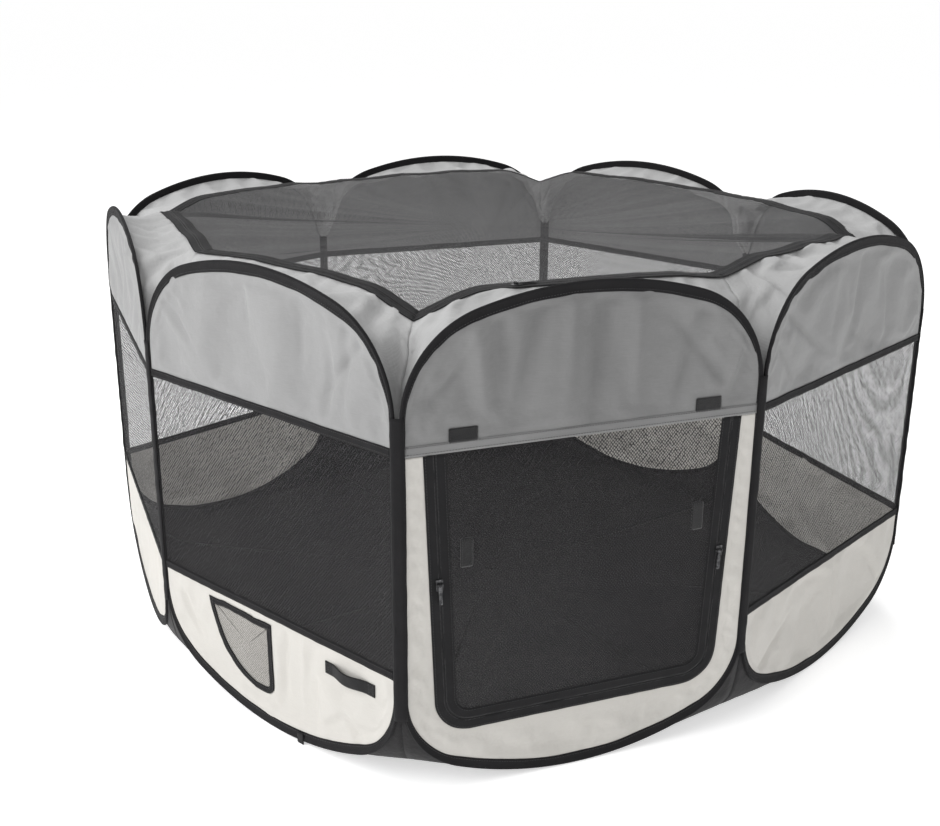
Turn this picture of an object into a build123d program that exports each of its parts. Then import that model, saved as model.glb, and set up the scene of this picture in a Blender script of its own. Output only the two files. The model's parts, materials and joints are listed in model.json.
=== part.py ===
from build123d import *
import os
from math import asin, atan2, cos, degrees, hypot, radians, sin, sqrt, tan

# Eight-panel pop-up pet playpen. Each panel is a closed spring-wire hoop in a binding sleeve with cloth and
# mesh sewn into it; the panels hinge on their corner seams and carry a zipped door, a floor, a shoulder
# collar and a zip-on mesh top. Millimetres, +Z up, origin on the ground at the middle of the pen, and the
# door panel faces -Y. Panels are numbered clockwise from the door panel, seen from above.

# Driving sizes
across_corners = 1250.0       # corner to corner of the pen spread to a regular octagon
pen_height = 640.0
panel_count = 8
star_turn = 17.0              # degrees that every second corner is pushed out, as the pen stands at rest
wire_radius = 1.5
wire_gap = 0.1                # wire to the wall of its channel
sleeve_wall = 0.9             # binding around the wire
cloth_thickness = 0.6
mesh_thickness = 0.5
tape_thickness = 0.6
slot_gap = 0.1                # binding to each face of the cloth sewn in it
joint_gap = 1.5               # hinge axis to the nearer bead of binding
seam_radius = 1.0             # stitched cord of cloth that is the hinge
top_corner_radius = 130.0
top_crown_radius = 500.0
bottom_corner_radius = 110.0
bottom_crown_radius = 450.0
binding_side_reach = 4.5      # wire to the inner edge of the binding on the upright sides
binding_end_reach = 12.5      # the same on the arch and along the bottom
cloth_edge_gap = 0.4          # channel wall to the edge of the cloth

# Bands of a panel
window_top = 457.0
window_bottom = 171.0
window_tape_width = 11.0
butt_gap = 0.4                # between two cloths that meet under a tape

# Door panel
hem_edge = 452.0
hem_height = 13.0
door_half_top = 210.0
door_half_bottom = 195.0
door_bottom = 84.0
door_corner_radius = 48.0
door_top_gap = 0.8
zip_tape_width = 11.0
zip_side_gap = 0.3
coil_half_width = 2.0
coil_split = 1.2              # between the two halves of a coil, where a slider's neck runs
coil_thickness = 2.4
door_swing_gap = 0.6          # coil to the door's own tape
sewn_overlap = 6.0
door_tape_overlap = 5.0

# Sliders and pulls
slider_length = 14.0
slider_plate = 1.2
slider_back_plate = 0.8
slider_tape_side = 5.8        # reach from the neck over the sewn side of the zip
slider_open_side = 2.8        # reach from the neck towards the opening
slider_coil_gap = 0.3
neck_width = 0.6
neck_length = 6.0
ear_thickness = 1.2
ear_size = 3.2
ear_lift = 8.0                # from a slider's lower end to its pull's pin
pin_radius = 0.6
pin_clearance = 0.1
pull_width = 4.4
pull_side_gap = 0.15
pull_thickness = 1.4
pull_length = 26.0
pull_eye_radius = 1.5
left_slider_height = 288.0
right_slider_height = 271.0

# Hook-and-loop pieces, vent, strap and ground tab
tab_width = 36.0
tab_height = 17.0
tab_thickness = 1.0
tab_inset = 31.0              # side of the doorway to a tab's outer end
tab_lift = 12.0
pad_width = 16.0
pad_height = 38.0
pad_height_middle = 324.0
pad_inset = 12.7              # door's edge tape to a pad
vent_left = -133.0
vent_right = 0.0
vent_top = 155.0
vent_bottom = 47.0
vent_foot = 39.0              # length of the straight foot of the vent
vent_bulge = 22.0             # how far the curved side bows out of its chord
vent_corner_radius = 16.0
vent_binding_width = 9.0
strap_length = 90.0
strap_middle = 153.0
strap_height = 137.0
strap_width = 17.0
strap_thickness = 1.5
strap_rise = 7.0
strap_end = 12.0
ground_tab_offset = 54.0
ground_tab_width = 12.0
ground_tab_length = 16.0
ground_tab_thickness = 1.6

# Floor, collar and top
floor_thickness = 0.8
floor_side_gap = 0.5          # sheet to the bead of the binding beside it
gusset_reach = 105.0          # along a panel's foot from a corner
gusset_rise = 118.0
collar_thickness = 1.0
collar_drop = 9.0             # collar's sewn edge below the top of the arch
ring_inset = 75.0             # panels to the outer edge of the top's zip
ring_height = 618.0
ring_corner_drop = 33.0       # at the corners that are pushed out
ring_inner_drop = 6.0         # at the corners between them
ring_flat_half = 110.0        # half of the straight level stretch beside each panel
top_tape_width = 10.5
top_middle_height = 602.0
top_slider_offset = -60.0

# Worked out from the sizes above
panel_pitch = across_corners * sin(radians(180.0 / panel_count))
bead_radius = wire_radius + wire_gap + sleeve_wall
panel_slant = degrees(asin(2 * bead_radius / panel_pitch))
axis_half = panel_pitch * cos(radians(panel_slant)) / 2
wire_half = axis_half - joint_gap - bead_radius
cloth_inset = wire_radius + wire_gap + cloth_edge_gap
tail_thickness = cloth_thickness + 2 * slot_gap + 2 * tape_thickness
tape_face = -cloth_thickness / 2 - tape_thickness      # outer face of a tape sewn on the cloth, local y
corner_turn = 360.0 / panel_count
coil_width = 2 * coil_half_width + coil_split
coil_start = zip_tape_width + zip_side_gap
neck_middle = coil_start + coil_half_width + coil_split / 2
door_tape_start = coil_start + coil_width + door_swing_gap
door_tape_end = door_tape_start + zip_tape_width
door_top = hem_edge - door_top_gap
door_taper = degrees(atan2(door_half_top - door_half_bottom, hem_edge - door_bottom))
tab_offset = door_half_top - tab_inset - tab_width / 2
pad_side = door_half_top - (hem_edge - pad_height_middle) * tan(radians(door_taper))
pad_offset = pad_side - door_tape_end / cos(radians(door_taper)) - pad_inset - pad_width / 2
top_coil_start = ring_inset + top_tape_width + zip_side_gap
top_neck_middle = top_coil_start + coil_half_width + coil_split / 2
top_mesh_tape_start = top_coil_start + coil_width + zip_side_gap
top_mesh_start = top_mesh_tape_start + top_tape_width
pin_height = coil_thickness / 2 + slider_coil_gap + slider_plate + ear_size / 2


def turned(point, angle):
    """A plan point turned about the origin by an angle in degrees."""
    c = cos(radians(angle))
    s = sin(radians(angle))
    return (point[0] * c - point[1] * s, point[0] * s + point[1] * c)


def panel_frames():
    """Middle (x, y) and heading of every panel, door panel first, then clockwise."""
    starts = [(0.0, 0.0)]
    headings = []
    heading = -panel_slant
    for index in range(panel_count):
        headings.append(heading)
        # Walk clockwise: from the panel's right end to its left end.
        step = turned((-panel_pitch, 0.0), heading)
        starts.append((starts[-1][0] + step[0], starts[-1][1] + step[1]))
        push = star_turn if index % 2 == 0 else -star_turn
        heading -= corner_turn + push
    middle_x = sum(p[0] for p in starts[:panel_count]) / panel_count
    middle_y = sum(p[1] for p in starts[:panel_count]) / panel_count
    frames = []
    for index in range(panel_count):
        a = starts[index]
        b = starts[index + 1]
        slant = panel_slant if index % 2 == 0 else -panel_slant
        middle = ((a[0] + b[0]) / 2 - middle_x, (a[1] + b[1]) / 2 - middle_y)
        frames.append((middle, headings[index] + slant))
    return frames


frames = panel_frames()


def place(shape, index):
    """A shape in a panel's own frame, moved to panel number index + 1."""
    middle, heading = frames[index]
    return Location((middle[0], middle[1], 0), (0, 0, heading)) * shape


def plan_point(index, along, inset):
    """Plan position of a point beside a panel: along it from its middle, and inset from its middle plane."""
    middle, heading = frames[index]
    x, y = turned((along, inset), heading)
    return (middle[0] + x, middle[1] + y)


def hinge_point(index):
    """Plan position of the hinge axis at the left end of a panel, seen from outside."""
    return plan_point(index, -axis_half, bead_radius if index % 2 == 0 else -bead_radius)


def arch_centres(half, apex, corner_radius, crown_radius):
    """Height of a corner arc's centre above an arch's crown centre, and where the two arcs meet, in degrees."""
    reach = crown_radius - corner_radius
    rise = sqrt(reach ** 2 - (half - corner_radius) ** 2)
    return apex - crown_radius + rise, degrees(atan2(rise, half - corner_radius))


def arch_height(along):
    """Height of the wire's centre line above a point along the panel."""
    top = pen_height - bead_radius
    centre, meet = arch_centres(wire_half, top, top_corner_radius, top_crown_radius)
    corner_x = wire_half - top_corner_radius
    if abs(along) > corner_x + top_corner_radius * cos(radians(meet)):
        return centre + sqrt(top_corner_radius ** 2 - (abs(along) - corner_x) ** 2)
    return top - top_crown_radius + sqrt(top_crown_radius ** 2 - along ** 2)


def hoop_edges(side_inset, end_inset):
    """Edges of a hoop's outline, drawn in XY, inset from the wire's centre line."""
    half = wire_half - side_inset
    top = pen_height - bead_radius - end_inset
    bottom = bead_radius + end_inset
    top_r = top_corner_radius - end_inset
    top_crown = top_crown_radius - end_inset
    low_r = bottom_corner_radius - end_inset
    low_crown = bottom_crown_radius - end_inset
    top_z, top_meet = arch_centres(half, top, top_r, top_crown)
    low_rise, low_meet = arch_centres(half, -bottom, low_r, low_crown)
    low_z = -low_rise
    return [
        Line((half, (low_z + top_z) / 2), (half, top_z)),
        CenterArc((half - top_r, top_z), top_r, 0, top_meet),
        CenterArc((0, top - top_crown), top_crown, top_meet, 180 - 2 * top_meet),
        CenterArc((top_r - half, top_z), top_r, 180 - top_meet, top_meet),
        Line((-half, top_z), (-half, low_z)),
        CenterArc((low_r - half, low_z), low_r, 180, low_meet),
        CenterArc((0, bottom + low_crown), low_crown, 180 + low_meet, 180 - 2 * low_meet),
        CenterArc((half - low_r, low_z), low_r, 360 - low_meet, low_meet),
        Line((half, low_z), (half, (low_z + top_z) / 2)),
    ]


def hoop_face(side_inset, end_inset):
    return make_face(hoop_edges(side_inset, end_inset))


def slab(face, low, high):
    """A face drawn in XY, stood up in the panel's plane and given depth from local y low to high."""
    return Plane.XZ.offset(-high) * extrude(face, high - low)


def band(low, high):
    """A rectangle in XY across the whole panel, between two heights."""
    return Pos(0, (low + high) / 2) * Rectangle(2 * panel_pitch, high - low)


def hoop_tube(radius):
    path = Plane.XZ * Wire(hoop_edges(0, 0))
    start = path.position_at(0)
    return sweep(Plane(start, z_dir=(0, 0, 1)) * Circle(radius), path)


def make_binding_sleeve():
    """Bead around the wire and a two-sided tail, with a channel for the wire and a slot for the cloth."""
    tail = hoop_face(0, 0) - hoop_face(binding_side_reach, binding_end_reach)
    slot_half = cloth_thickness / 2 + slot_gap
    solid = hoop_tube(bead_radius) + slab(tail, -tail_thickness / 2, tail_thickness / 2)
    return solid - slab(hoop_face(0, 0), -slot_half, slot_half) - hoop_tube(wire_radius + wire_gap)


def make_corner_seam(index):
    low = bead_radius + bottom_corner_radius
    high = arch_centres(wire_half, pen_height - bead_radius, top_corner_radius, top_crown_radius)[0]
    side = bead_radius if index % 2 == 0 else -bead_radius
    seam = Cylinder(seam_radius, high - low, align=(Align.CENTER, Align.CENTER, Align.MIN))
    return Pos(-axis_half, side, low) * seam


def make_window_tape(height):
    inside = hoop_face(binding_side_reach + butt_gap, binding_end_reach + butt_gap)
    half = window_tape_width / 2
    return slab(inside & band(height - half, height + half), tape_face, -cloth_thickness / 2)


def cloth_band(low, high, thickness=cloth_thickness):
    face = hoop_face(cloth_inset, cloth_inset) & band(low, high)
    return slab(face, -thickness / 2, thickness / 2)


def make_upper_cloth():
    return cloth_band(window_top + butt_gap / 2, pen_height)


def make_mesh_window():
    return cloth_band(window_bottom + butt_gap / 2, window_top - butt_gap / 2, mesh_thickness)


def make_lower_cloth():
    return cloth_band(0, window_bottom - butt_gap / 2)


def make_hemmed_cloth():
    """Upper cloth of the door panel, doubled along its free hem between the binding's two sides."""
    inside = hoop_face(binding_side_reach + butt_gap, binding_end_reach + butt_gap)
    hem = slab(inside & band(hem_edge, hem_edge + hem_height), -cloth_thickness, cloth_thickness)
    return cloth_band(hem_edge, pen_height) + hem


def door_face(inset):
    """Doorway outline, drawn in XY, inset from the outer edge of the sewn zip tape."""
    slope = tan(radians(door_taper))
    shrink = inset / cos(radians(door_taper))
    low = door_bottom + inset
    top_half = door_half_top - shrink
    low_half = door_half_top - (hem_edge - low) * slope - shrink
    outline = Polygon((-top_half, hem_edge), (-low_half, low), (low_half, low), (top_half, hem_edge), align=None)
    return fillet(outline.vertices().sort_by(Axis.Y)[:2], door_corner_radius - inset)


def door_band(outer, inner):
    """U-shaped strip of the doorway between two insets, open along the hem."""
    return (door_face(outer) - door_face(inner)) & band(0, door_top)


def make_door_surround():
    """Lower cloth of the door panel: a U around the doorway."""
    return cloth_band(0, door_top) - slab(door_face(sewn_overlap), -cloth_thickness, cloth_thickness)


def make_door_zip_tape():
    return slab(door_band(0, zip_tape_width), tape_face, -cloth_thickness / 2)


def make_door_zip_coil():
    first = door_band(coil_start, coil_start + coil_half_width)
    second = door_band(coil_start + coil_half_width + coil_split, coil_start + coil_width)
    half = coil_thickness / 2
    middle = tape_face + tape_thickness / 2
    return [slab(f, middle - half, middle + half) for f in (first, second)]


def make_door_mesh():
    face = door_face(door_tape_end - door_tape_overlap) & band(0, door_top)
    return slab(face, -mesh_thickness / 2, mesh_thickness / 2)


def make_door_edge_tape():
    return slab(door_band(door_tape_start, door_tape_end), tape_face, -mesh_thickness / 2)


def make_door_pads():
    pads = []
    for side in (-1, 1):
        spot = Pos(side * pad_offset, pad_height_middle) * Rectangle(pad_width, pad_height)
        pads.append(slab(spot, -mesh_thickness / 2 - tab_thickness, -mesh_thickness / 2))
    return pads


def make_hem_tabs():
    tabs = []
    for side in (-1, 1):
        spot = Pos(side * tab_offset, hem_edge + tab_lift + tab_height / 2) * Rectangle(tab_width, tab_height)
        tabs.append(slab(spot, -cloth_thickness - tab_thickness, -cloth_thickness))
    return tabs


def make_slider():
    """Slider drawn standing: travel along Z, front towards -Y, open side of the zip towards +X."""
    width = slider_tape_side + slider_open_side
    middle_x = (slider_open_side - slider_tape_side) / 2
    front = -coil_thickness / 2 - slider_coil_gap
    back = coil_thickness / 2 + slider_coil_gap
    plate = Pos(middle_x, front - slider_plate / 2, 0) * Box(width, slider_plate, slider_length)
    rear = Pos(middle_x, back + slider_back_plate / 2, 0) * Box(width, slider_back_plate, slider_length)
    neck = Pos(0, (front + back) / 2, 0) * Box(neck_width, back - front, neck_length)
    body = plate + rear + neck
    span = pull_width + 2 * pull_side_gap
    for side in (-1, 1):
        x = middle_x + side * (span + ear_thickness) / 2
        ear = Box(ear_thickness, ear_size, ear_size)
        body += Pos(x, front - slider_plate - ear_size / 2, ear_lift - slider_length / 2) * ear
    pin = Cylinder(pin_radius, span + ear_thickness, rotation=(0, 90, 0))
    return body + Pos(middle_x, -pin_height, ear_lift - slider_length / 2) * pin


def make_pull():
    """Pull in the same frame as its slider, hanging down from the pin."""
    middle_x = (slider_open_side - slider_tape_side) / 2
    eye = Cylinder(pull_eye_radius, pull_width, rotation=(0, 90, 0))
    tail = Pos(0, 0, -pull_length / 2) * Box(pull_width, pull_thickness, pull_length)
    grip = fillet(tail.edges().filter_by(Axis.Y).group_by(Axis.Z)[0], pull_width / 3)
    bore = Cylinder(pin_radius + pin_clearance, pull_width, rotation=(0, 90, 0))
    return Pos(middle_x, -pin_height, ear_lift - slider_length / 2) * (eye + grip - bore)


def door_slider_place(side, height):
    """Where a slider sits on the door's zip: side -1 is left, 1 is right, seen from outside."""
    along = door_half_top - (hem_edge - height) * tan(radians(door_taper))
    along -= neck_middle / cos(radians(door_taper))
    return Location((side * along, tape_face + tape_thickness / 2, height), (0, side * door_taper, 0))


def top_slider_place():
    """Where the top's slider lies on the level zip beside the door panel: front up, pull towards +X."""
    spot = (top_slider_offset, top_neck_middle, ring_height - collar_thickness / 2)
    plane = Plane(spot, x_dir=(0, 1, 0), z_dir=(-1, 0, 0))
    return plane.location


def vent_face(inset):
    """Vent outline, drawn in XY: straight top, right side and foot, and one curved side."""
    left = vent_left + inset
    right = vent_right - inset
    top = vent_top - inset
    low = vent_bottom + inset
    foot = right - vent_foot + 2 * inset
    chord = (foot - left, low - top)
    length = hypot(chord[0], chord[1])
    bow = (chord[1] / length * vent_bulge, -chord[0] / length * vent_bulge)
    bend = ((left + foot) / 2 + bow[0], (top + low) / 2 + bow[1])
    edges = [
        Line((left, top), (right, top)),
        Line((right, top), (right, low)),
        Line((right, low), (foot, low)),
        ThreePointArc((foot, low), bend, (left, top)),
    ]
    face = make_face(edges)
    corner = face.vertices().sort_by_distance((right, low))[0]
    return fillet(corner, vent_corner_radius - inset)


def make_vented_cloth():
    return make_lower_cloth() - slab(vent_face(vent_binding_width / 2), -cloth_thickness, cloth_thickness)


def make_vent_mesh():
    return slab(vent_face((vent_binding_width + butt_gap) / 2), -mesh_thickness / 2, mesh_thickness / 2)


def make_vent_binding():
    ring = vent_face(0) - vent_face(vent_binding_width)
    return slab(ring, tape_face, -cloth_thickness / 2)


def make_strap():
    """Webbing sewn down at both ends and bowed off the cloth between them."""
    half = strap_length / 2 - strap_end
    radius = (half ** 2 + strap_rise ** 2) / (2 * strap_rise)
    outer = radius + strap_thickness
    centre = radius - strap_rise
    bow = Circle(outer) - Circle(radius)
    lower = Pos(0, -outer) * Rectangle(2 * half, 2 * (outer - centre))
    section = Pos(0, centre) * (bow & lower)
    for side in (-1, 1):
        end = Rectangle(strap_end, strap_thickness)
        section += Pos(side * (half + strap_end / 2), -strap_thickness / 2) * end
    strap = extrude(section, strap_width)
    return Pos(strap_middle, -cloth_thickness / 2, strap_height - strap_width / 2) * strap


def make_ground_tab():
    low = bead_radius / 4
    tab = Box(ground_tab_width, ground_tab_thickness, ground_tab_length, align=(Align.CENTER, Align.MAX, Align.MIN))
    return Pos(ground_tab_offset, -bead_radius, low) * tab


def sheet(points, polygons, thickness):
    """Closed solid of flat facets: points are its upper side, and it is thick downwards.

    Each polygon runs anticlockwise, seen from above."""
    lower = [(x, y, z - thickness) for x, y, z in points]
    used = set()
    walls = []
    for polygon in polygons:
        walls.append(Face(Wire.make_polygon([points[i] for i in polygon])))
        walls.append(Face(Wire.make_polygon([lower[i] for i in reversed(polygon)])))
        for a, b in zip(polygon, polygon[1:] + polygon[:1]):
            used.add((a, b))
    for a, b in used:
        if (b, a) not in used:
            walls.append(Face(Wire.make_polygon([points[b], points[a], lower[a], lower[b]])))
    return Solid(Shell(walls))


def corner_inset_point(index, inset):
    """Plan point at the left end of a panel where lines inset from it and from its neighbour cross."""
    neighbour = (index + 1) % panel_count
    p = plan_point(index, 0, inset)
    q = plan_point(neighbour, 0, inset)
    d = turned((1.0, 0.0), frames[index][1])
    e = turned((1.0, 0.0), frames[neighbour][1])
    cross = d[0] * e[1] - d[1] * e[0]
    t = ((q[0] - p[0]) * e[1] - (q[1] - p[1]) * e[0]) / cross
    return (p[0] + d[0] * t, p[1] + d[1] * t)


def ring_points(inset):
    """Points around the top's zip at one inset, anticlockwise: per panel its left corner and two level points."""
    points = []
    for index in reversed(range(panel_count)):
        corner = corner_inset_point(index, inset)
        drop = ring_corner_drop if index % 2 == 0 else ring_inner_drop
        points.append((corner[0], corner[1], ring_height - drop))
        for along in (-ring_flat_half, ring_flat_half):
            x, y = plan_point(index, along, inset)
            points.append((x, y, ring_height))
    return points


def ring_strip(outer, inner, thickness):
    """Closed strip around the top between two insets."""
    outer_points = ring_points(outer)
    count = len(outer_points)
    polygons = []
    for i in range(count):
        j = (i + 1) % count
        polygons.append([i, j, count + j])
        polygons.append([i, count + j, count + i])
    return sheet(outer_points + ring_points(inner), polygons, thickness)


def make_floor_sheet():
    """Floor cloth, cut across its corners, with a raised gusset in each corner."""
    inset = bead_radius + floor_side_gap
    points = []
    for index in reversed(range(panel_count)):
        top = corner_inset_point(index, 2 * inset)
        points.append((top[0], top[1], gusset_rise))
        for along in (gusset_reach - axis_half, axis_half - gusset_reach):
            x, y = plan_point(index, along, inset)
            points.append((x, y, floor_thickness))
    count = len(points)
    base = [i for i in range(count) if i % 3]
    corners = [[i, i + 1, (i - 1) % count] for i in range(0, count, 3)]
    return sheet(points, [base] + corners, floor_thickness)


def make_collar():
    """Shoulder cloth from the arches in to the top's zip, dipping between the arches."""
    inset = bead_radius + floor_side_gap
    shares = (-0.98, -0.75, -0.42, 0.42, 0.75, 0.98)
    points = []
    for index in reversed(range(panel_count)):
        for share in shares:
            along = share * wire_half
            x, y = plan_point(index, along, inset)
            points.append((x, y, arch_height(along) - collar_drop))
    ring_start = len(points)
    points += ring_points(ring_inset)
    ring_count = len(points) - ring_start
    polygons = []
    for panel in range(panel_count):
        a = panel * len(shares)
        r = ring_start + panel * 3
        after = ring_start + (panel * 3 + 3) % ring_count
        polygons.append([a - 1 if panel else ring_start - 1, a, r])
        polygons.append([a, a + 1, r])
        polygons.append([a + 1, r + 1, r])
        polygons.append([a + 1, a + 2, r + 1])
        polygons.append([a + 2, a + 3, r + 1])
        polygons.append([a + 3, r + 2, r + 1])
        polygons.append([a + 3, a + 4, r + 2])
        polygons.append([a + 4, after, r + 2])
        polygons.append([a + 4, a + 5, after])
    return sheet(points, polygons, collar_thickness)


def make_top_zip_tapes():
    outer = ring_strip(ring_inset + butt_gap, ring_inset + top_tape_width, collar_thickness)
    inner = ring_strip(top_mesh_tape_start, top_mesh_tape_start + top_tape_width, collar_thickness)
    return [outer, inner]


def make_top_zip_coil():
    lift = (coil_thickness - collar_thickness) / 2
    first = ring_strip(top_coil_start, top_coil_start + coil_half_width, coil_thickness)
    second = ring_strip(top_coil_start + coil_half_width + coil_split, top_coil_start + coil_width, coil_thickness)
    return [Pos(0, 0, lift) * strip for strip in (first, second)]


def make_top_mesh():
    points = ring_points(top_mesh_start + butt_gap)
    count = len(points)
    points.append((0.0, 0.0, top_middle_height))
    polygons = [[i, (i + 1) % count, count] for i in range(count)]
    return sheet(points, polygons, mesh_thickness)


def write(name, shape):
    """One STEP for a node; a list is a group of separate solids."""
    if isinstance(shape, (list, tuple)):
        solids = [s for item in shape for s in item.solids()]
        shape = Compound(children=solids)
    export_step(shape, "parts/" + name + ".step")


def build():
    os.makedirs("parts", exist_ok=True)
    sleeve = make_binding_sleeve()
    hoop = hoop_tube(wire_radius)
    tapes = [make_window_tape(window_bottom), make_window_tape(window_top)]
    upper = make_upper_cloth()
    lower = make_lower_cloth()
    window = make_mesh_window()
    for index in range(panel_count):
        number = str(index + 1)
        is_door = index == 0
        binding = [sleeve, make_corner_seam(index)] + ([] if is_door else tapes)
        write("hoop_wire_" + number, place(hoop, index))
        write("binding_" + number, [place(piece, index) for piece in binding])
        write("upper_cloth_" + number, place(make_hemmed_cloth() if is_door else upper, index))
        if is_door:
            write("lower_cloth_" + number, place(make_door_surround(), index))
        else:
            write("mesh_window_" + number, place(window, index))
            write("lower_cloth_" + number, place(make_vented_cloth() if index == 1 else lower, index))

    write("door_zip_tape", place(make_door_zip_tape(), 0))
    write("door_zip_coil", [place(half, 0) for half in make_door_zip_coil()])
    write("door_mesh", place(make_door_mesh(), 0))
    write("door_edge_tape", place(make_door_edge_tape(), 0))
    write("door_pads", [place(pad, 0) for pad in make_door_pads()])
    write("hem_tabs", [place(tab, 0) for tab in make_hem_tabs()])

    slider = make_slider()
    pull = make_pull()
    mirrored = (mirror(slider, Plane.YZ), mirror(pull, Plane.YZ))
    left = door_slider_place(-1, left_slider_height)
    right = door_slider_place(1, right_slider_height)
    write("door_slider_left", place(left * slider, 0))
    write("door_pull_left", place(left * pull, 0))
    write("door_slider_right", place(right * mirrored[0], 0))
    write("door_pull_right", place(right * mirrored[1], 0))

    write("vent_mesh", place(make_vent_mesh(), 1))
    write("vent_binding", place(make_vent_binding(), 1))
    write("webbing_strap", place(make_strap(), 1))
    write("ground_tab", place(make_ground_tab(), 1))

    write("floor_sheet", make_floor_sheet())
    write("shoulder_collar", make_collar())
    write("top_zip_tapes", make_top_zip_tapes())
    write("top_zip_coil", make_top_zip_coil())
    write("top_mesh", make_top_mesh())
    top = top_slider_place()
    write("top_slider", place(top * slider, 0))
    write("top_pull", place(top * pull, 0))


build()
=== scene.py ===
import json
import math
import bmesh
import bpy
import numpy as np
from mathutils import Matrix, Vector, noise


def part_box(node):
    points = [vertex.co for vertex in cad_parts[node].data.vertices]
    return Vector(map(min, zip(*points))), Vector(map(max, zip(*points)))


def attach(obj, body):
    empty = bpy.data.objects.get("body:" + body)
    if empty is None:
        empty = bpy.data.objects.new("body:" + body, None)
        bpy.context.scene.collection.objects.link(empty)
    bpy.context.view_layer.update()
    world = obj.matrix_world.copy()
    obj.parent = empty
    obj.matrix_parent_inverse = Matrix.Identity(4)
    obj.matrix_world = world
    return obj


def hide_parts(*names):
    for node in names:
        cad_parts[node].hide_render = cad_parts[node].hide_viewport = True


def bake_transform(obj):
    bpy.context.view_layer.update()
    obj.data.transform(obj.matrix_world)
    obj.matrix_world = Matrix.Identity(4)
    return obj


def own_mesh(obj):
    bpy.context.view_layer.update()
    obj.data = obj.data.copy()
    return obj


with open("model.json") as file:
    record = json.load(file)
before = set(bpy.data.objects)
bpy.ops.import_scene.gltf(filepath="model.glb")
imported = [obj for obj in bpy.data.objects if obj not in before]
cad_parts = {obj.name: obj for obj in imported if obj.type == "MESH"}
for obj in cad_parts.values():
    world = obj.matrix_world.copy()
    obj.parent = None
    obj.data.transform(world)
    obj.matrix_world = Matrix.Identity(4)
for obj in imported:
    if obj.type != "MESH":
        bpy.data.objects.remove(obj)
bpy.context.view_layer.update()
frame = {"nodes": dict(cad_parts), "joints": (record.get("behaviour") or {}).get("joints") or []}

scene = bpy.context.scene
print("frame loaded")

# The hoops, as the maker cuts and bends them (metres)
pen = dict(wireRadius=0.0015, beadRadius=0.0025, clothInset=0.002,
           topCorner=0.130, topCrown=0.500, lowCorner=0.110, lowCrown=0.450,
           sideReach=0.0045, endReach=0.0125, tapeWidth=0.011, clothThickness=0.0006,
           tapeThickness=0.0006, seamDepth=0.0016, netGap=0.0002)
wireLow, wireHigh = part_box("hoop_wire_1")
pen["wireHalf"] = (wireHigh.x - wireLow.x) / 2 - pen["wireRadius"]
pen["top"] = wireHigh.z - pen["wireRadius"]
pen["bottom"] = wireLow.z + pen["wireRadius"]
netLow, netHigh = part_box("mesh_window_3")
pen["windowTop"] = netHigh.z + pen["netGap"]
pen["windowBottom"] = netLow.z - pen["netGap"]


# where the panels stand, from the joints at their corners
jointAt = {j["name"]: np.array(j["pos_m"])[:2] for j in frame["joints"] if j["name"].startswith("fold")}
corners = [jointAt["fold_1_2"], jointAt["fold_2_3"], jointAt["fold_3_4"], jointAt["fold_4_5"],
           -jointAt["fold_1_2"], jointAt["fold_7_6"], jointAt["fold_8_7"], jointAt["fold_1_8"]]
cornerJoints = ["fold_1_2", "fold_2_3", "fold_3_4", "fold_4_5", None, "fold_7_6", "fold_8_7", "fold_1_8"]
panelNumbers = range(1, 9)
aroundPen = [1, 8, 7, 6, 5, 4, 3, 2]     # anticlockwise from above


def panelFrame(number):
    left, right = corners[(number - 1) % 8], corners[(number - 2) % 8]
    span = right - left
    slant = math.asin(2 * pen["beadRadius"] / np.linalg.norm(span))
    angle = math.atan2(span[1], span[0]) + (slant if number % 2 else -slant)
    along = np.array([math.cos(angle), math.sin(angle)])
    return (left + right) / 2, along, np.array([-along[1], along[0]])


panels = {number: panelFrame(number) for number in panelNumbers}
penReach = abs(float(panels[1][0] @ panels[1][2]))     # from the middle of the pen to a panel's plane


def toWorld(number, local):
    # local columns: along the panel, inwards, up
    middle, along, inward = panels[number]
    local = np.asarray(local, float)
    flat = local.reshape(-1, 3)
    plan = middle + flat[:, :1] * along + flat[:, 1:2] * inward
    return np.column_stack([plan, flat[:, 2]]).reshape(local.shape)


def outward(number):
    return Vector((*(-panels[number][2]), 0.0))


def crossing(number):
    # where the middle planes of a panel and its left neighbour cross
    other = number % 8 + 1
    (p, d, _), (q, e, _) = panels[number], panels[other]
    cross = d[0] * e[1] - d[1] * e[0]
    t = ((q[0] - p[0]) * e[1] - (q[1] - p[1]) * e[0]) / cross
    return p + d * t


crossings = {number: crossing(number) for number in panelNumbers}


def sectorPlan(number, share, inset):
    # share -1 at the panel's left corner, 1 at its right; inset from the panel's middle plane
    left, right = crossings[number], crossings[(number - 2) % 8 + 1]
    edge = left * (1 - share)[..., None] / 2 + right * (1 + share)[..., None] / 2
    return edge * (1 - inset / penReach)[..., None]


def alongPanel(number, plan):
    return (plan - panels[number][0]) @ panels[number][1]


def arcCentre(half, apex, cornerRadius, crownRadius):
    rise = math.sqrt((crownRadius - cornerRadius) ** 2 - (half - cornerRadius) ** 2)
    return apex - crownRadius + rise, math.atan2(rise, half - cornerRadius)


def arcPoints(centre, radius, start, sweep, count):
    angle = start + sweep * np.arange(count) / count
    return np.column_stack([centre[0] + radius * np.cos(angle), centre[1] + radius * np.sin(angle)])


def linePoints(start, end, count):
    share = (np.arange(count) / count)[:, None]
    return np.array(start) * (1 - share) + np.array(end) * share


loopCounts = dict(side=40, corner=44, crown=64)


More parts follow.
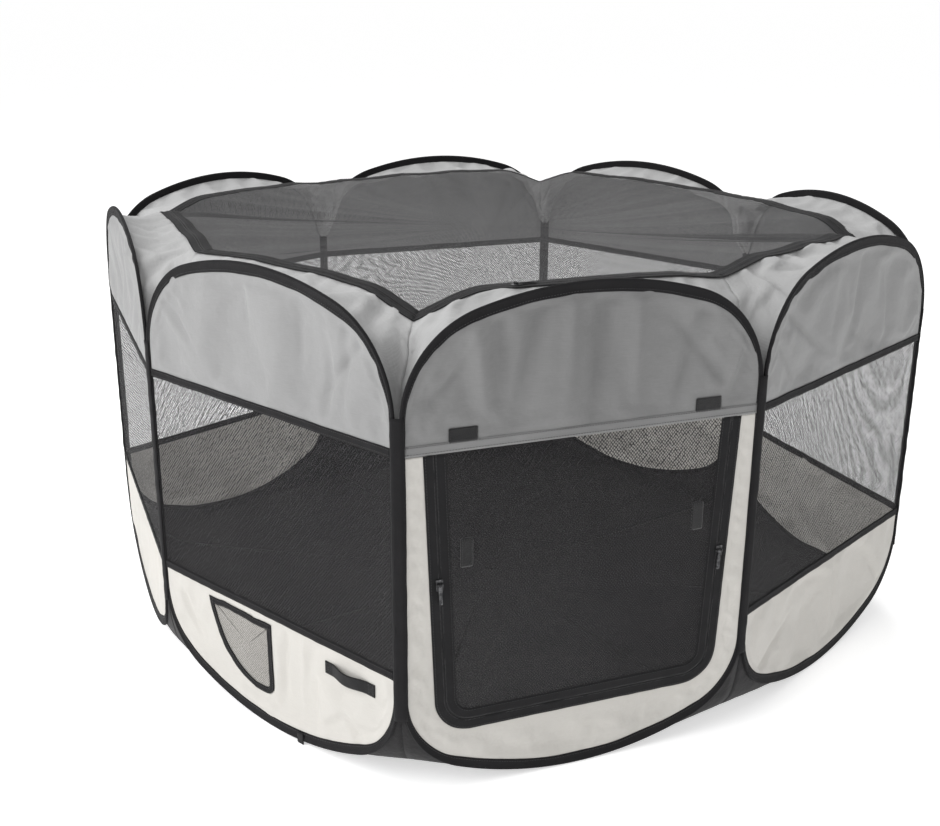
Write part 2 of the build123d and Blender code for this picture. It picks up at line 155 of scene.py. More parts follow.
def hoopLoop(sideInset, endInset):
    half = pen["wireHalf"] - sideInset
    top, bottom = pen["top"] - endInset, pen["bottom"] + endInset
    topR, topCrown = pen["topCorner"] - endInset, pen["topCrown"] - endInset
    lowR, lowCrown = pen["lowCorner"] - endInset, pen["lowCrown"] - endInset
    topZ, topMeet = arcCentre(half, top, topR, topCrown)
    lowRise, lowMeet = arcCentre(half, -bottom, lowR, lowCrown)
    lowZ, middle, pi = -lowRise, (topZ - lowRise) / 2, math.pi
    side, corner, crown = loopCounts["side"], loopCounts["corner"], loopCounts["crown"]
    return np.vstack([
        linePoints((half, middle), (half, topZ), side),
        arcPoints((half - topR, topZ), topR, 0, topMeet, corner),
        arcPoints((0, top - topCrown), topCrown, topMeet, pi - 2 * topMeet, crown),
        arcPoints((topR - half, topZ), topR, pi - topMeet, topMeet, corner),
        linePoints((-half, topZ), (-half, lowZ), 2 * side),
        arcPoints((lowR - half, lowZ), lowR, pi, lowMeet, corner),
        arcPoints((0, bottom + lowCrown), lowCrown, pi + lowMeet, pi - 2 * lowMeet, crown),
        arcPoints((half - lowR, lowZ), lowR, 2 * pi - lowMeet, lowMeet, corner),
        linePoints((half, lowZ), (half, middle), side),
    ])


def edgeHeight(u, inset, top=True):
    # height of the arch or of the foot of a hoop, at an even inset from the wire
    loop = hoopLoop(inset, inset)
    side, corner, crown = loopCounts["side"], loopCounts["corner"], loopCounts["crown"]
    first = side if top else 3 * side + 2 * corner + crown
    arc = loop[first:first + 2 * corner + crown + 1]
    order = np.argsort(arc[:, 0])
    return np.interp(u, arc[order, 0], arc[order, 1])


def noiseAt(points, scale, seed):
    shift = Vector((seed * 7.31, seed * 3.17, seed * 1.93))
    flat = np.asarray(points, float).reshape(-1, 3)
    values = [noise.noise(Vector(p) * scale + shift) for p in flat]
    return np.array(values).reshape(np.asarray(points).shape[:-1])


def travelAlong(path):
    # distance from the first point to each point
    return np.concatenate([[0], np.cumsum(np.linalg.norm(np.diff(path, axis=0), axis=1))])


def uvGrid(across, up):
    return np.stack(np.broadcast_arrays(across, up), -1)


def onGround(plan):
    return np.concatenate([plan, plan[..., :1] * 0], axis=-1)


def directions(points):
    return points / np.maximum(np.linalg.norm(points, axis=-1, keepdims=True), 1e-9)


def smooth(x):
    x = np.clip(x, 0, 1)
    return x * x * (3 - 2 * x)


def gridFaces(rows, columns, closeColumns=False, first=0):
    faces = []
    last = columns if closeColumns else columns - 1
    for r in range(rows - 1):
        for c in range(last):
            d = (c + 1) % columns
            faces.append((first + r * columns + c, first + r * columns + d,
                          first + (r + 1) * columns + d, first + (r + 1) * columns + c))
    return faces


def meshObject(name, points, faces, uvs=None, smoothFaces=True):
    mesh = bpy.data.meshes.new(name)
    mesh.from_pydata([tuple(p) for p in np.asarray(points).reshape(-1, 3)], [], faces)
    if uvs is not None:
        layer = mesh.uv_layers.new(name="cloth")
        flat = np.asarray(uvs, float).reshape(-1, 2)
        index = np.zeros(len(mesh.loops), int)
        mesh.loops.foreach_get("vertex_index", index)
        layer.data.foreach_set("uv", flat[index].ravel())
    mesh.polygons.foreach_set("use_smooth", [smoothFaces] * len(mesh.polygons))
    mesh.update()
    obj = bpy.data.objects.new(name, mesh)
    scene.collection.objects.link(obj)
    return obj


def baked(obj):
    # modifiers applied, same name and materials
    name = obj.name
    graph = bpy.context.evaluated_depsgraph_get()
    mesh = bpy.data.meshes.new_from_object(obj.evaluated_get(graph), preserve_all_data_layers=True,
                                           depsgraph=graph)
    old = obj.data
    obj.modifiers.clear()
    obj.data = mesh
    bpy.data.meshes.remove(old)
    mesh.name = name
    return obj


def thicken(obj, thickness, offset=0.0, levels=0):
    if levels:
        sub = obj.modifiers.new("smooth", "SUBSURF")
        sub.levels = sub.render_levels = levels
    solid = obj.modifiers.new("thickness", "SOLIDIFY")
    solid.thickness = thickness
    solid.offset = offset
    return baked(obj)


def sheetArea(points, faces):
    p = np.asarray(points, float).reshape(-1, 3)
    quads = np.array([f if len(f) == 4 else (*f, f[2]) for f in faces])
    a, b, c, d = (p[quads[:, i]] for i in range(4))
    halves = np.linalg.norm(np.cross(b - a, c - a), axis=1) + np.linalg.norm(np.cross(c - a, d - a), axis=1)
    return float(halves.sum() / 2)


def finish(obj, body, nodes, material):
    obj.data.materials.clear()
    obj.data.materials.append(material)
    if body:
        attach(obj, body)
    if nodes:
        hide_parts(*nodes)
    return obj


def declareSheet(obj, width, length, area, held):
    # width and length of the cut cloth, area of its outline
    area = min(area, 0.999 * width * length)


class Nodes:
    # short hand for laying out a shader
    def __init__(self, name):
        self.material = bpy.data.materials.new(name)
        self.material.use_nodes = True
        self.tree = self.material.node_tree
        self.shader = self.tree.nodes["Principled BSDF"]

    def add(self, kind, **values):
        node = self.tree.nodes.new(kind)
        for key, value in values.items():
            setattr(node, key, value)
        return node

    def link(self, source, target):
        self.tree.links.new(source, target)

    def mapped(self, source, scale, location=(0, 0, 0)):
        node = self.add("ShaderNodeMapping")
        node.inputs["Scale"].default_value = scale
        node.inputs["Location"].default_value = location
        self.link(source, node.inputs["Vector"])
        return node.outputs["Vector"]

    def noise(self, source, scale, detail=3.0, roughness=0.55):
        node = self.add("ShaderNodeTexNoise")
        node.inputs["Scale"].default_value = scale
        node.inputs["Detail"].default_value = detail
        node.inputs["Roughness"].default_value = roughness
        self.link(source, node.inputs["Vector"])
        return node.outputs["Fac"]

    def wave(self, source, pitch, direction, distortion=0.0):
        node = self.add("ShaderNodeTexWave", bands_direction=direction)
        node.inputs["Scale"].default_value = math.pi / 10 / pitch
        node.inputs["Distortion"].default_value = distortion
        self.link(source, node.inputs["Vector"])
        return node.outputs["Fac"]

    def math(self, operation, a, b=None, clamp=False):
        node = self.add("ShaderNodeMath", operation=operation, use_clamp=clamp)
        for value, socket in ((a, node.inputs[0]), (b, node.inputs[1])):
            if value is None:
                continue
            if isinstance(value, (int, float)):
                socket.default_value = value
            else:
                self.link(value, socket)
        return node.outputs[0]

    def between(self, value, low, high, outLow=0.0, outHigh=1.0):
        node = self.add("ShaderNodeMapRange")
        for key, number in zip(("From Min", "From Max", "To Min", "To Max"), (low, high, outLow, outHigh)):
            node.inputs[key].default_value = number
        self.link(value, node.inputs["Value"])
        return node.outputs[0]

    def mixColour(self, factor, a, b):
        # the RGBA sockets of a Mix node are inputs 6 and 7 and output 2
        node = self.add("ShaderNodeMix", data_type="RGBA")
        self.link(factor, node.inputs["Factor"])
        node.inputs[6].default_value = (*a, 1.0)
        node.inputs[7].default_value = (*b, 1.0)
        return node.outputs[2]

    def bump(self, height, distance, strength, after=None):
        node = self.add("ShaderNodeBump")
        node.inputs["Distance"].default_value = distance
        node.inputs["Strength"].default_value = strength
        self.link(height, node.inputs["Height"])
        if after is not None:
            self.link(after, node.inputs["Normal"])
        return node.outputs["Normal"]

    def coords(self, kind):
        return self.add("ShaderNodeTexCoord").outputs[kind]

    def plug(self, **sockets):
        for key, value in sockets.items():
            socket = self.shader.inputs[key.replace("_", " ")]
            if isinstance(value, (int, float)):
                socket.default_value = value
            elif isinstance(value, tuple):
                socket.default_value = (*value, 1.0) if len(value) == 3 else value
            else:
                self.link(value, socket)
        return self.material


def wovenCloth(name, light, dark, thread, sheen, creases, roughness=0.82):
    # plain weave with slubs, soft mottling and small creases
    m = Nodes(name)
    uv, place = m.coords("UV"), m.coords("Object")
    warp, weft = m.wave(uv, thread, "X", 0.4), m.wave(uv, thread, "Y", 0.4)
    weave = m.math("MAXIMUM", m.math("MULTIPLY", warp, 0.9), weft)
    broad = m.noise(place, 5.0, 4.0)
    slub = m.noise(m.mapped(uv, (60, 900, 1)), 1.0, 2.0)
    mottle = m.math("ADD", m.math("MULTIPLY", broad, 0.6), m.math("MULTIPLY", slub, 0.25))
    shade = m.math("ADD", mottle, m.math("MULTIPLY", weave, 0.25))
    colour = m.mixColour(m.between(shade, 0.3, 0.85), dark, light)
    grain = m.noise(place, creases["scale"], 4.0, 0.6)
    folds = m.bump(grain, creases["depth"], creases["strength"])
    normal = m.bump(weave, 0.00012, 0.5, folds)
    rough = m.between(slub, 0.2, 0.8, roughness - 0.06, roughness + 0.06)
    return m.plug(Base_Color=colour, Roughness=rough, Normal=normal, Sheen_Weight=sheen,
                  Sheen_Roughness=0.5, Specular_IOR_Level=0.25)


def openNet(name, light, dark, pitch, hole, softness, sheen):
    # knitted net: two staggered rows of round holes between threads
    m = Nodes(name)
    uv, place = m.coords("UV"), m.coords("Object")
    distances = []
    for shift in (0.0, 0.5):
        cells = m.add("ShaderNodeTexVoronoi", voronoi_dimensions="2D")
        cells.inputs["Scale"].default_value = 1.0
        cells.inputs["Randomness"].default_value = 0.22
        m.link(m.mapped(uv, (1 / pitch[0], 1 / pitch[1], 1.0), (shift, shift, 0.0)), cells.inputs["Vector"])
        distances.append(cells.outputs["Distance"])
    nearest = m.math("MINIMUM", *distances)
    uneven = m.between(m.noise(place, 120.0, 2.0), 0.3, 0.7, -0.02, 0.02)
    edge = m.math("ADD", nearest, uneven)
    cover = m.between(edge, hole - softness, hole + softness)
    colour = m.mixColour(m.noise(place, 9.0), dark, light)
    normal = m.bump(edge, 0.0004, 0.6)
    return m.plug(Base_Color=colour, Roughness=0.7, Alpha=cover, Normal=normal, Sheen_Weight=sheen,
                  Specular_IOR_Level=0.2)


def ribbedTape(name, light, dark, rib, direction="X", sheen=0.12, wear=0.25):
    # grosgrain: ribs across the tape, worn paler in patches
    m = Nodes(name)
    uv, place = m.coords("UV"), m.coords("Object")
    ribs = m.wave(uv, rib, direction, 0.15)
    threads = m.noise(m.mapped(uv, (400, 2500, 1)), 1.0, 2.0)
    patches = m.noise(place, 14.0, 4.0)
    worn = m.math("MULTIPLY", m.between(patches, 0.45, 0.75), wear)
    shade = m.math("ADD", m.math("MULTIPLY", ribs, 0.45), worn)
    colour = m.mixColour(m.math("ADD", shade, m.math("MULTIPLY", threads, 0.15), True), dark, light)
    puckers = m.bump(m.noise(place, 55.0, 3.0), 0.0016, 0.55)
    normal = m.bump(m.math("ADD", ribs, m.math("MULTIPLY", threads, 0.4)), 0.0003, 0.6, puckers)
    return m.plug(Base_Color=colour, Roughness=0.78, Normal=normal, Sheen_Weight=sheen,
                  Specular_IOR_Level=0.18)


def threadFinish(name, light, dark):
    m = Nodes(name)
    place = m.coords("Object")
    twist = m.wave(place, 0.0006, "DIAGONAL", 1.0)
    colour = m.mixColour(twist, dark, light)
    return m.plug(Base_Color=colour, Roughness=0.6, Normal=m.bump(twist, 0.0001, 0.4),
                  Specular_IOR_Level=0.35)


def fuzzyHooks(name, light, dark):
    m = Nodes(name)
    place = m.coords("Object")
    loops = m.add("ShaderNodeTexVoronoi")
    loops.inputs["Scale"].default_value = 900.0
    m.link(place, loops.inputs["Vector"])
    fuzz = m.noise(place, 600.0, 3.0)
    colour = m.mixColour(m.math("MULTIPLY", fuzz, m.noise(place, 40.0)), dark, light)
    height = m.math("ADD", loops.outputs["Distance"], fuzz)
    return m.plug(Base_Color=colour, Roughness=0.9, Normal=m.bump(height, 0.0006, 0.7),
                  Sheen_Weight=0.35, Specular_IOR_Level=0.2)


def paintedMetal(name, light, dark):
    m = Nodes(name)
    place = m.coords("Object")
    scuffs = m.noise(place, 260.0, 5.0, 0.7)
    colour = m.mixColour(m.between(scuffs, 0.45, 0.7), dark, light)
    rough = m.between(scuffs, 0.3, 0.7, 0.28, 0.5)
    return m.plug(Base_Color=colour, Roughness=rough, Metallic=0.6,
                  Normal=m.bump(scuffs, 0.00008, 0.4))


weavePitch = 0.0011
softCreases = dict(scale=14.0, depth=0.010, strength=0.45)
tightCreases = dict(scale=26.0, depth=0.007, strength=0.55)
greyCloth = wovenCloth("oxfordGrey", (0.33, 0.33, 0.33), (0.235, 0.235, 0.235),
                       weavePitch, 0.12, softCreases)
# the door panel's grey oxford is the same cloth as greyCloth painted darker: painted shade for the front
# panel, which is turned away from the key light
shadedDoorGrey = wovenCloth("oxfordGreyDoorShaded", (0.27, 0.27, 0.27), (0.16, 0.16, 0.16),
                      weavePitch, 0.12, softCreases)
paleCloth = wovenCloth("oxfordOffWhite", (0.63, 0.61, 0.575), (0.51, 0.495, 0.465),
                       weavePitch, 0.08, softCreases)
collarCloth = wovenCloth("collarGrey", (0.52, 0.52, 0.52), (0.33, 0.33, 0.33),
                         weavePitch, 0.15, tightCreases)
floorCloth = wovenCloth("floorCharcoal", (0.020, 0.019, 0.020), (0.010, 0.0096, 0.0104),
                        weavePitch, 0.04, tightCreases, 0.7)
sideNet = openNet("windowNet", (0.030, 0.029, 0.030), (0.014, 0.013, 0.015),
                  (0.0042, 0.0050), 0.275, 0.13, 0.03)
ventNet = openNet("ventNet", (0.40, 0.385, 0.36), (0.27, 0.26, 0.245),
                  (0.0030, 0.0036), 0.15, 0.10, 0.05)
topNet = openNet("topNet", (0.040, 0.039, 0.041), (0.018, 0.0175, 0.019),
                 (0.0026, 0.0031), 0.235, 0.08, 0.05)
blackTape = ribbedTape("bindingBlack", (0.020, 0.019, 0.021), (0.006, 0.0057, 0.0063), 0.0009, sheen=0.03)
zipTape = ribbedTape("zipTapeBlack", (0.024, 0.023, 0.025), (0.007, 0.007, 0.0075), 0.0008, "Y", sheen=0.05)
webbing = ribbedTape("webbingBlack", (0.026, 0.025, 0.027), (0.007, 0.007, 0.0075), 0.0014, "X", 0.08, 0.3)
blackThread = threadFinish("threadBlack", (0.075, 0.073, 0.075), (0.02, 0.02, 0.021))
zipTeeth = threadFinish("zipTeethBlack", (0.085, 0.083, 0.085), (0.02, 0.02, 0.021))
hooksAndLoops = fuzzyHooks("hooksAndLoops", (0.035, 0.034, 0.035), (0.010, 0.010, 0.0105))
sliderPaint = paintedMetal("sliderBlack", (0.20, 0.20, 0.205), (0.03, 0.03, 0.032))
springSteel = paintedMetal("springSteel", (0.55, 0.55, 0.56), (0.30, 0.30, 0.31))
print("materials made")


def repeatTree():
    # sets one small bit every pitch along an edge, for stitches and teeth
    tree = bpy.data.node_groups.new("rowOfBits", "GeometryNodeTree")
    face = tree.interface
    face.new_socket("Geometry", in_out="INPUT", socket_type="NodeSocketGeometry")
    for name, kind in (("Pitch", "Float"), ("Size", "Vector"), ("Facing", "Vector"), ("Finish", "Material")):
        face.new_socket(name, in_out="INPUT", socket_type="NodeSocket" + kind)
    face.new_socket("Geometry", in_out="OUTPUT", socket_type="NodeSocketGeometry")
    add, link = tree.nodes.new, tree.links.new
    entry, leave = add("NodeGroupInput"), add("NodeGroupOutput")
    curve, spots = add("GeometryNodeMeshToCurve"), add("GeometryNodeCurveToPoints")
    spots.mode = "LENGTH"
    bit = add("GeometryNodeMeshUVSphere")
    bit.inputs["Segments"].default_value = 6
    bit.inputs["Rings"].default_value = 4
    bit.inputs["Radius"].default_value = 0.5
    forward, facing = add("FunctionNodeAlignRotationToVector"), add("FunctionNodeAlignRotationToVector")
    forward.axis, facing.axis, facing.pivot_axis = "X", "Z", "X"
    place, real = add("GeometryNodeInstanceOnPoints"), add("GeometryNodeRealizeInstances")
    soft, paint = add("GeometryNodeSetShadeSmooth"), add("GeometryNodeSetMaterial")
    link(entry.outputs["Geometry"], curve.inputs["Mesh"])
    link(curve.outputs["Curve"], spots.inputs["Curve"])
    link(entry.outputs["Pitch"], spots.inputs["Length"])
    link(spots.outputs["Tangent"], forward.inputs["Vector"])
    link(forward.outputs["Rotation"], facing.inputs["Rotation"])
    link(entry.outputs["Facing"], facing.inputs["Vector"])
    link(spots.outputs["Points"], place.inputs["Points"])
    link(bit.outputs["Mesh"], place.inputs["Instance"])
    link(facing.outputs["Rotation"], place.inputs["Rotation"])
    link(entry.outputs["Size"], place.inputs["Scale"])
    link(place.outputs["Instances"], real.inputs["Geometry"])
    link(real.outputs["Geometry"], soft.inputs["Geometry"])
    link(soft.outputs["Geometry"], paint.inputs["Geometry"])
    link(entry.outputs["Finish"], paint.inputs["Material"])
    link(paint.outputs["Geometry"], leave.inputs["Geometry"])
    return tree


rowTree = repeatTree()
rowSockets = {item.name: item.identifier for item in rowTree.interface.items_tree
              if item.in_out == "INPUT"}


def bitsAlong(name, paths, pitch, size, facing, material):
    # one small ellipsoid every pitch along each path
    points, edges = [], []
    for path in paths:
        first = len(points)
        points += [tuple(p) for p in path]
        edges += [(first + i, first + i + 1) for i in range(len(path) - 1)]
    mesh = bpy.data.meshes.new(name)
    mesh.from_pydata(points, edges, [])
    obj = bpy.data.objects.new(name, mesh)
    scene.collection.objects.link(obj)
    row = obj.modifiers.new("row", "NODES")
    row.node_group = rowTree
    row[rowSockets["Pitch"]] = pitch
    row[rowSockets["Size"]] = size
    row[rowSockets["Facing"]] = tuple(facing)
    row[rowSockets["Finish"]] = material
    return baked(obj)


def settle(name, points, faces, pins, settings, gravity=0.0):
    # the cloth is cut a little larger than its frame and left to buckle
    obj = meshObject(name, points, faces)
    group = obj.vertex_groups.new(name="held")
    group.add([int(i) for i in pins], 1.0, "REPLACE")
    cloth = obj.modifiers.new("cloth", "CLOTH")
    cloth.settings.quality = 5
    cloth.settings.mass = 0.12
    cloth.settings.tension_stiffness = settings["stiffness"]
    cloth.settings.compression_stiffness = settings["stiffness"]
    cloth.settings.shear_stiffness = settings["stiffness"] / 2
    cloth.settings.bending_stiffness = settings["bending"]
    cloth.settings.tension_damping = 8
    cloth.settings.compression_damping = 8
    cloth.settings.air_damping = 3
    cloth.settings.vertex_group_mass = "held"
    cloth.settings.shrink_min = -settings["slack"]
    cloth.settings.effector_weights.gravity = gravity
    cloth.collision_settings.use_collision = False
    cloth.collision_settings.use_self_collision = False
    cloth.point_cache.frame_start = 1
    cloth.point_cache.frame_end = settings["frames"]
    scene.frame_start, scene.frame_end = 1, settings["frames"]
    for number in range(1, settings["frames"] + 1):
        scene.frame_set(number)
    graph = bpy.context.evaluated_depsgraph_get()
    mesh = obj.evaluated_get(graph).to_mesh()
    out = np.zeros(len(mesh.vertices) * 3)
    mesh.vertices.foreach_get("co", out)
    data = obj.data
    bpy.data.objects.remove(obj)
    bpy.data.meshes.remove(data)
    scene.frame_set(1)
    print("settled", name)
    return out.reshape(-1, 3)


# binding sleeves round the hoops
sleeve = dict(flapHalf=0.0010, puckerDepth=0.0009, puckerScale=55.0, reachWander=0.14, stitchShare=0.76,
              stitchPitch=0.0036, stitchSize=(0.0027, 0.0007, 0.0005))


def sewSeams(name, seams, number, body):
    # the stitches on the outer face of a panel
    stitches = bitsAlong(name, seams, sleeve["stitchPitch"], sleeve["stitchSize"], outward(number),
                         blackThread)
    finish(stitches, body, None, blackThread)


def sleeveProfile(reach):
    # (distance inwards from the wire, share of the way to the free edge, depth), outer side first
    bead, flap = pen["beadRadius"], sleeve["flapHalf"]
    angles = np.radians([270, 240, 210, 180, 150, 120, 90])
    ring = np.column_stack([bead * np.cos(angles), bead * np.sin(angles)])
    outer = [(reach, -flap * 0.95), (reach * 0.82, -flap), (reach * 0.62, -flap * 0.9),
             (reach * 0.42 + 0.0006, -flap * 1.1), (0.0019, -flap * 1.75)]
    inner = [(d, -v) for d, v in reversed(outer)]
    return np.array([*outer, *ring, *inner])


def sleeveSurface(number):
    wire, inside = hoopLoop(0, 0), hoopLoop(pen["sideReach"], pen["endReach"])
    count = len(wire)
    place = np.column_stack([wire[:, 0] + number, np.zeros(count), wire[:, 1]])
    wander = 1 + sleeve["reachWander"] * noiseAt(place, 22.0, 3 + number)
    delta = inside - wire
    reach = np.linalg.norm(delta, axis=1)
    direction = delta / reach[:, None]
    reach = reach * wander
    shoulder = smooth((np.abs(wire[:, 0]) - 0.10) / 0.08) * smooth((wire[:, 1] - 0.50) / 0.04)
    depth = sleeve["puckerDepth"] * (1 + 1.6 * shoulder) * noiseAt(place, sleeve["puckerScale"], 11 + number)
    rings = []
    for k in range(count):
        profile = sleeveProfile(reach[k])
        share = np.clip(profile[:, 0] / reach[k], 0, 1)
        plane = wire[k] + profile[:, :1] * direction[k]
        rings.append(np.column_stack([plane[:, 0], profile[:, 1] + depth[k] * share ** 2, plane[:, 1]]))
    return np.array(rings), reach, direction, wire, depth


def makeSleeve(number):
    rings, reach, direction, wire, depth = sleeveSurface(number)
    count, size = rings.shape[:2]
    travel = travelAlong(wire)
    across = travelAlong(rings[60])
    uvs = uvGrid(travel[:, None], across[None, :])
    faces = []
    for k in range(count):
        n = (k + 1) % count
        for j in range(size):
            m = (j + 1) % size
            faces.append((k * size + j, k * size + m, n * size + m, n * size + j))
    obj = meshObject("sleeve_" + str(number), toWorld(number, rings), faces, uvs)
    finish(obj, "panel_" + str(number), ["binding_" + str(number)], blackTape)
    share = sleeve["stitchShare"]
    seams = []
    for side in (-1, 1):
        plane = wire + (reach * share)[:, None] * direction
        v = side * (sleeve["flapHalf"] * 0.98 + 0.0001) + depth * share ** 2
        local = np.column_stack([plane[:, 0], v, plane[:, 1]])
        seams.append(toWorld(number, np.vstack([local, local[:1]])))
    sewSeams("sleeve_stitches_" + str(number), seams, number, "panel_" + str(number))


for number in panelNumbers:
    makeSleeve(number)
print("sleeves sewn")


# corner tapes over the joints
cornerTape = dict(half=0.0072, lift=0.0006, edge=0.62, fold=0.004, low=0.112, high=0.500, rows=64,
                  columns=9, wander=0.0009, thickness=0.0008)
midHeight = 0.3


def makeCornerTape(index):
    # index: the corner at the left end of panel index + 1 and the right end of the next panel
    here, beside = index % 8 + 1, (index + 1) % 8 + 1
    z = np.linspace(cornerTape["low"], cornerTape["high"], cornerTape["rows"])
    face = -(pen["beadRadius"] + cornerTape["lift"])
    half = float(abs(alongPanel(here, corners[index])))
    edge, fold = face * cornerTape["edge"], half - cornerTape["fold"]
    a = toWorld(here, [(cornerTape["half"] - half, edge, 0), (-fold, face, 0)])[:, :2]
    b = toWorld(beside, [(fold, face, 0), (half - cornerTape["half"], edge, 0)])[:, :2]
    line = np.vstack([b[1], b[0], a[1], a[0]])
    knots = travelAlong(line)
    t = np.linspace(0, knots[-1], cornerTape["columns"])
    plan = np.column_stack([np.interp(t, knots, line[:, i]) for i in range(2)])
    plan[1:-1] = (plan[:-2] + 2 * plan[1:-1] + plan[2:]) / 4
    grid = np.empty((len(z), len(t), 3))
    grid[..., :2], grid[..., 2] = plan, z[:, None]
    away = line.mean(0) / np.linalg.norm(line.mean(0))
    wander = cornerTape["wander"] * noiseAt(grid, 60.0, index + 40)
    grid[..., :2] += away * wander[..., None]
    grid[..., 2] += cornerTape["wander"] * noiseAt(grid, 45.0, index + 60)
    uvs = uvGrid(z[:, None], t[None, :])
    obj = meshObject("corner_tape_" + str(index), grid, gridFaces(*grid.shape[:2]), uvs)
    thicken(obj, cornerTape["thickness"])
    nodes = ["binding_" + str(here)]
    joint = cornerJoints[index]
    if joint is None:
        return finish(obj, "panel_5", nodes, blackTape)
    finish(obj, None, nodes, blackTape)
    first, last = (*map(float, b[0]), midHeight), (*map(float, a[1]), midHeight)
    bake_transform(obj)
    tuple(first)
    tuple(last)
    return obj


for index in range(8):
    makeCornerTape(index)
print("corner tapes sewn")


# cloth bands of the panels
bands = dict(columns=81, upperRows=29, lowerRows=27, slack=0.022, frames=16, stiffness=14.0, bending=0.6,
             ripple=0.0060, cap=0.016)
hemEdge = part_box("upper_cloth_1")[0].z
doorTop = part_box("lower_cloth_1")[1].z


def bandColumns(count):
    t = np.linspace(-1, 1, count)
    half = pen["wireHalf"] - pen["clothInset"]
    return half * (0.62 * t + 0.38 * np.sin(t * math.pi / 2))


def bandGrid(low, high, rows, columns):
    u = bandColumns(columns)
    inset = pen["clothInset"]
    bottom = edgeHeight(u, inset, False) if low is None else np.full_like(u, low)
    top = edgeHeight(u, inset, True) if high is None else np.full_like(u, high)
    share = np.linspace(0, 1, rows)[:, None]
    z = bottom * (1 - share) + top * share
    grid = np.zeros((rows, columns, 3))
    grid[..., 0], grid[..., 2] = u, z
    return grid


def edgeDistance(grid):
    # how far each point is inside the visible part of a band
    u, z = grid[..., 0], grid[..., 2]
    side = pen["wireHalf"] - pen["sideReach"] - np.abs(u)
    top = edgeHeight(u, pen["endReach"], True) - z
    low = z - edgeHeight(u, pen["endReach"], False)
    own = np.minimum(z - grid[0, :, 2], grid[-1, :, 2] - z) - pen["tapeWidth"] / 2
    return np.minimum(np.minimum(side, own), np.minimum(top, low))


def rippled(grid, number, seed, amount, stretch=(14.0, 5.0)):
    # soft upright folds, strongest in the open cloth
    u, z = grid[..., 0], grid[..., 2]
    place = np.stack([u * stretch[0] + number * 3.7, z * stretch[1], u * 0 + seed], -1)
    fine = np.stack([u * 26 + number, z * 17, u * 0 + seed + 5], -1)
    field = noiseAt(place, 1.0, seed) + 0.45 * noiseAt(fine, 1.0, seed + 1)
    out = grid.copy()
    out[..., 1] += amount * field * smooth(edgeDistance(grid) / 0.02)
    return out


def creased(grid, creases):
    # each crease: start (u, z), end (u, z), half width, depth (inwards is positive)
    out = grid.copy()
    p = grid[..., [0, 2]]
    for start, end, width, depth in creases:
        start, end = np.array(start), np.array(end)
        axis = end - start
        length = np.linalg.norm(axis)
        axis = axis / length
        t = (p - start) @ axis
        d = np.abs((p - start) @ np.array([-axis[1], axis[0]]))
        share = np.clip(t / length, 0, 1)
        body = np.exp(-(d / (width * (1 - 0.5 * share))) ** 2)
        body = body * smooth(t / (0.2 * length)) * smooth((length - t) / (0.5 * length))
        out[..., 1] += depth * body * smooth(edgeDistance(grid) / 0.006)
    return out


upperCreases = {
    1: [((-0.06, 0.64), (-0.095, 0.455), 0.013, 0.014), ((-0.025, 0.64), (-0.035, 0.47), 0.010, -0.010),
        ((0.015, 0.64), (0.005, 0.455), 0.012, 0.014), ((0.055, 0.64), (0.06, 0.465), 0.011, -0.010),
        ((-0.15, 0.62), (-0.13, 0.455), 0.015, -0.010), ((-0.12, 0.63), (-0.11, 0.47), 0.010, 0.011),
        ((0.16, 0.62), (0.11, 0.455), 0.013, 0.014), ((0.21, 0.57), (0.18, 0.47), 0.009, -0.008),
        ((0.20, 0.48), (0.10, 0.60), 0.010, 0.006), ((-0.21, 0.50), (-0.14, 0.58), 0.009, 0.005)],
    2: [((0.20, 0.59), (0.10, 0.48), 0.007, 0.007), ((-0.21, 0.57), (-0.10, 0.50), 0.006, 0.007),
        ((-0.19, 0.60), (-0.13, 0.54), 0.005, -0.005), ((0.12, 0.47), (0.13, 0.58), 0.008, 0.008),
        ((0.165, 0.61), (0.15, 0.47), 0.007, 0.006), ((-0.02, 0.62), (-0.025, 0.52), 0.006, 0.004),
        ((0.08, 0.62), (0.075, 0.50), 0.006, 0.005)],
    3: [((-0.10, 0.62), (-0.06, 0.48), 0.010, 0.007), ((0.12, 0.61), (0.06, 0.48), 0.010, -0.006),
        ((0.0, 0.635), (0.02, 0.50), 0.009, 0.005)],
    8: [((-0.20, 0.58), (-0.06, 0.49), 0.008, 0.007), ((0.10, 0.47), (0.08, 0.60), 0.012, -0.006),
        ((-0.21, 0.54), (-0.15, 0.47), 0.006, 0.005), ((0.02, 0.63), (0.01, 0.49), 0.010, 0.005)],
}
lowerCreases = {
    2: [((0.03, 0.165), (0.015, 0.02), 0.006, 0.006), ((0.205, 0.02), (0.12, 0.09), 0.006, 0.008),
        ((0.19, 0.01), (0.08, 0.05), 0.005, -0.005), ((-0.20, 0.15), (-0.15, 0.06), 0.006, 0.005),
        ((0.065, 0.165), (0.055, 0.03), 0.005, -0.005), ((0.085, 0.12), (0.08, 0.01), 0.005, 0.005)],
    3: [((-0.15, 0.16), (-0.10, 0.03), 0.008, 0.006), ((0.10, 0.165), (0.12, 0.04), 0.008, 0.005)],
    8: [((-0.19, 0.05), (-0.08, 0.12), 0.007, 0.007), ((0.02, 0.16), (0.04, 0.02), 0.007, 0.005),
        ((0.19, 0.06), (0.12, 0.15), 0.007, 0.005)],
}


sillCount = 24


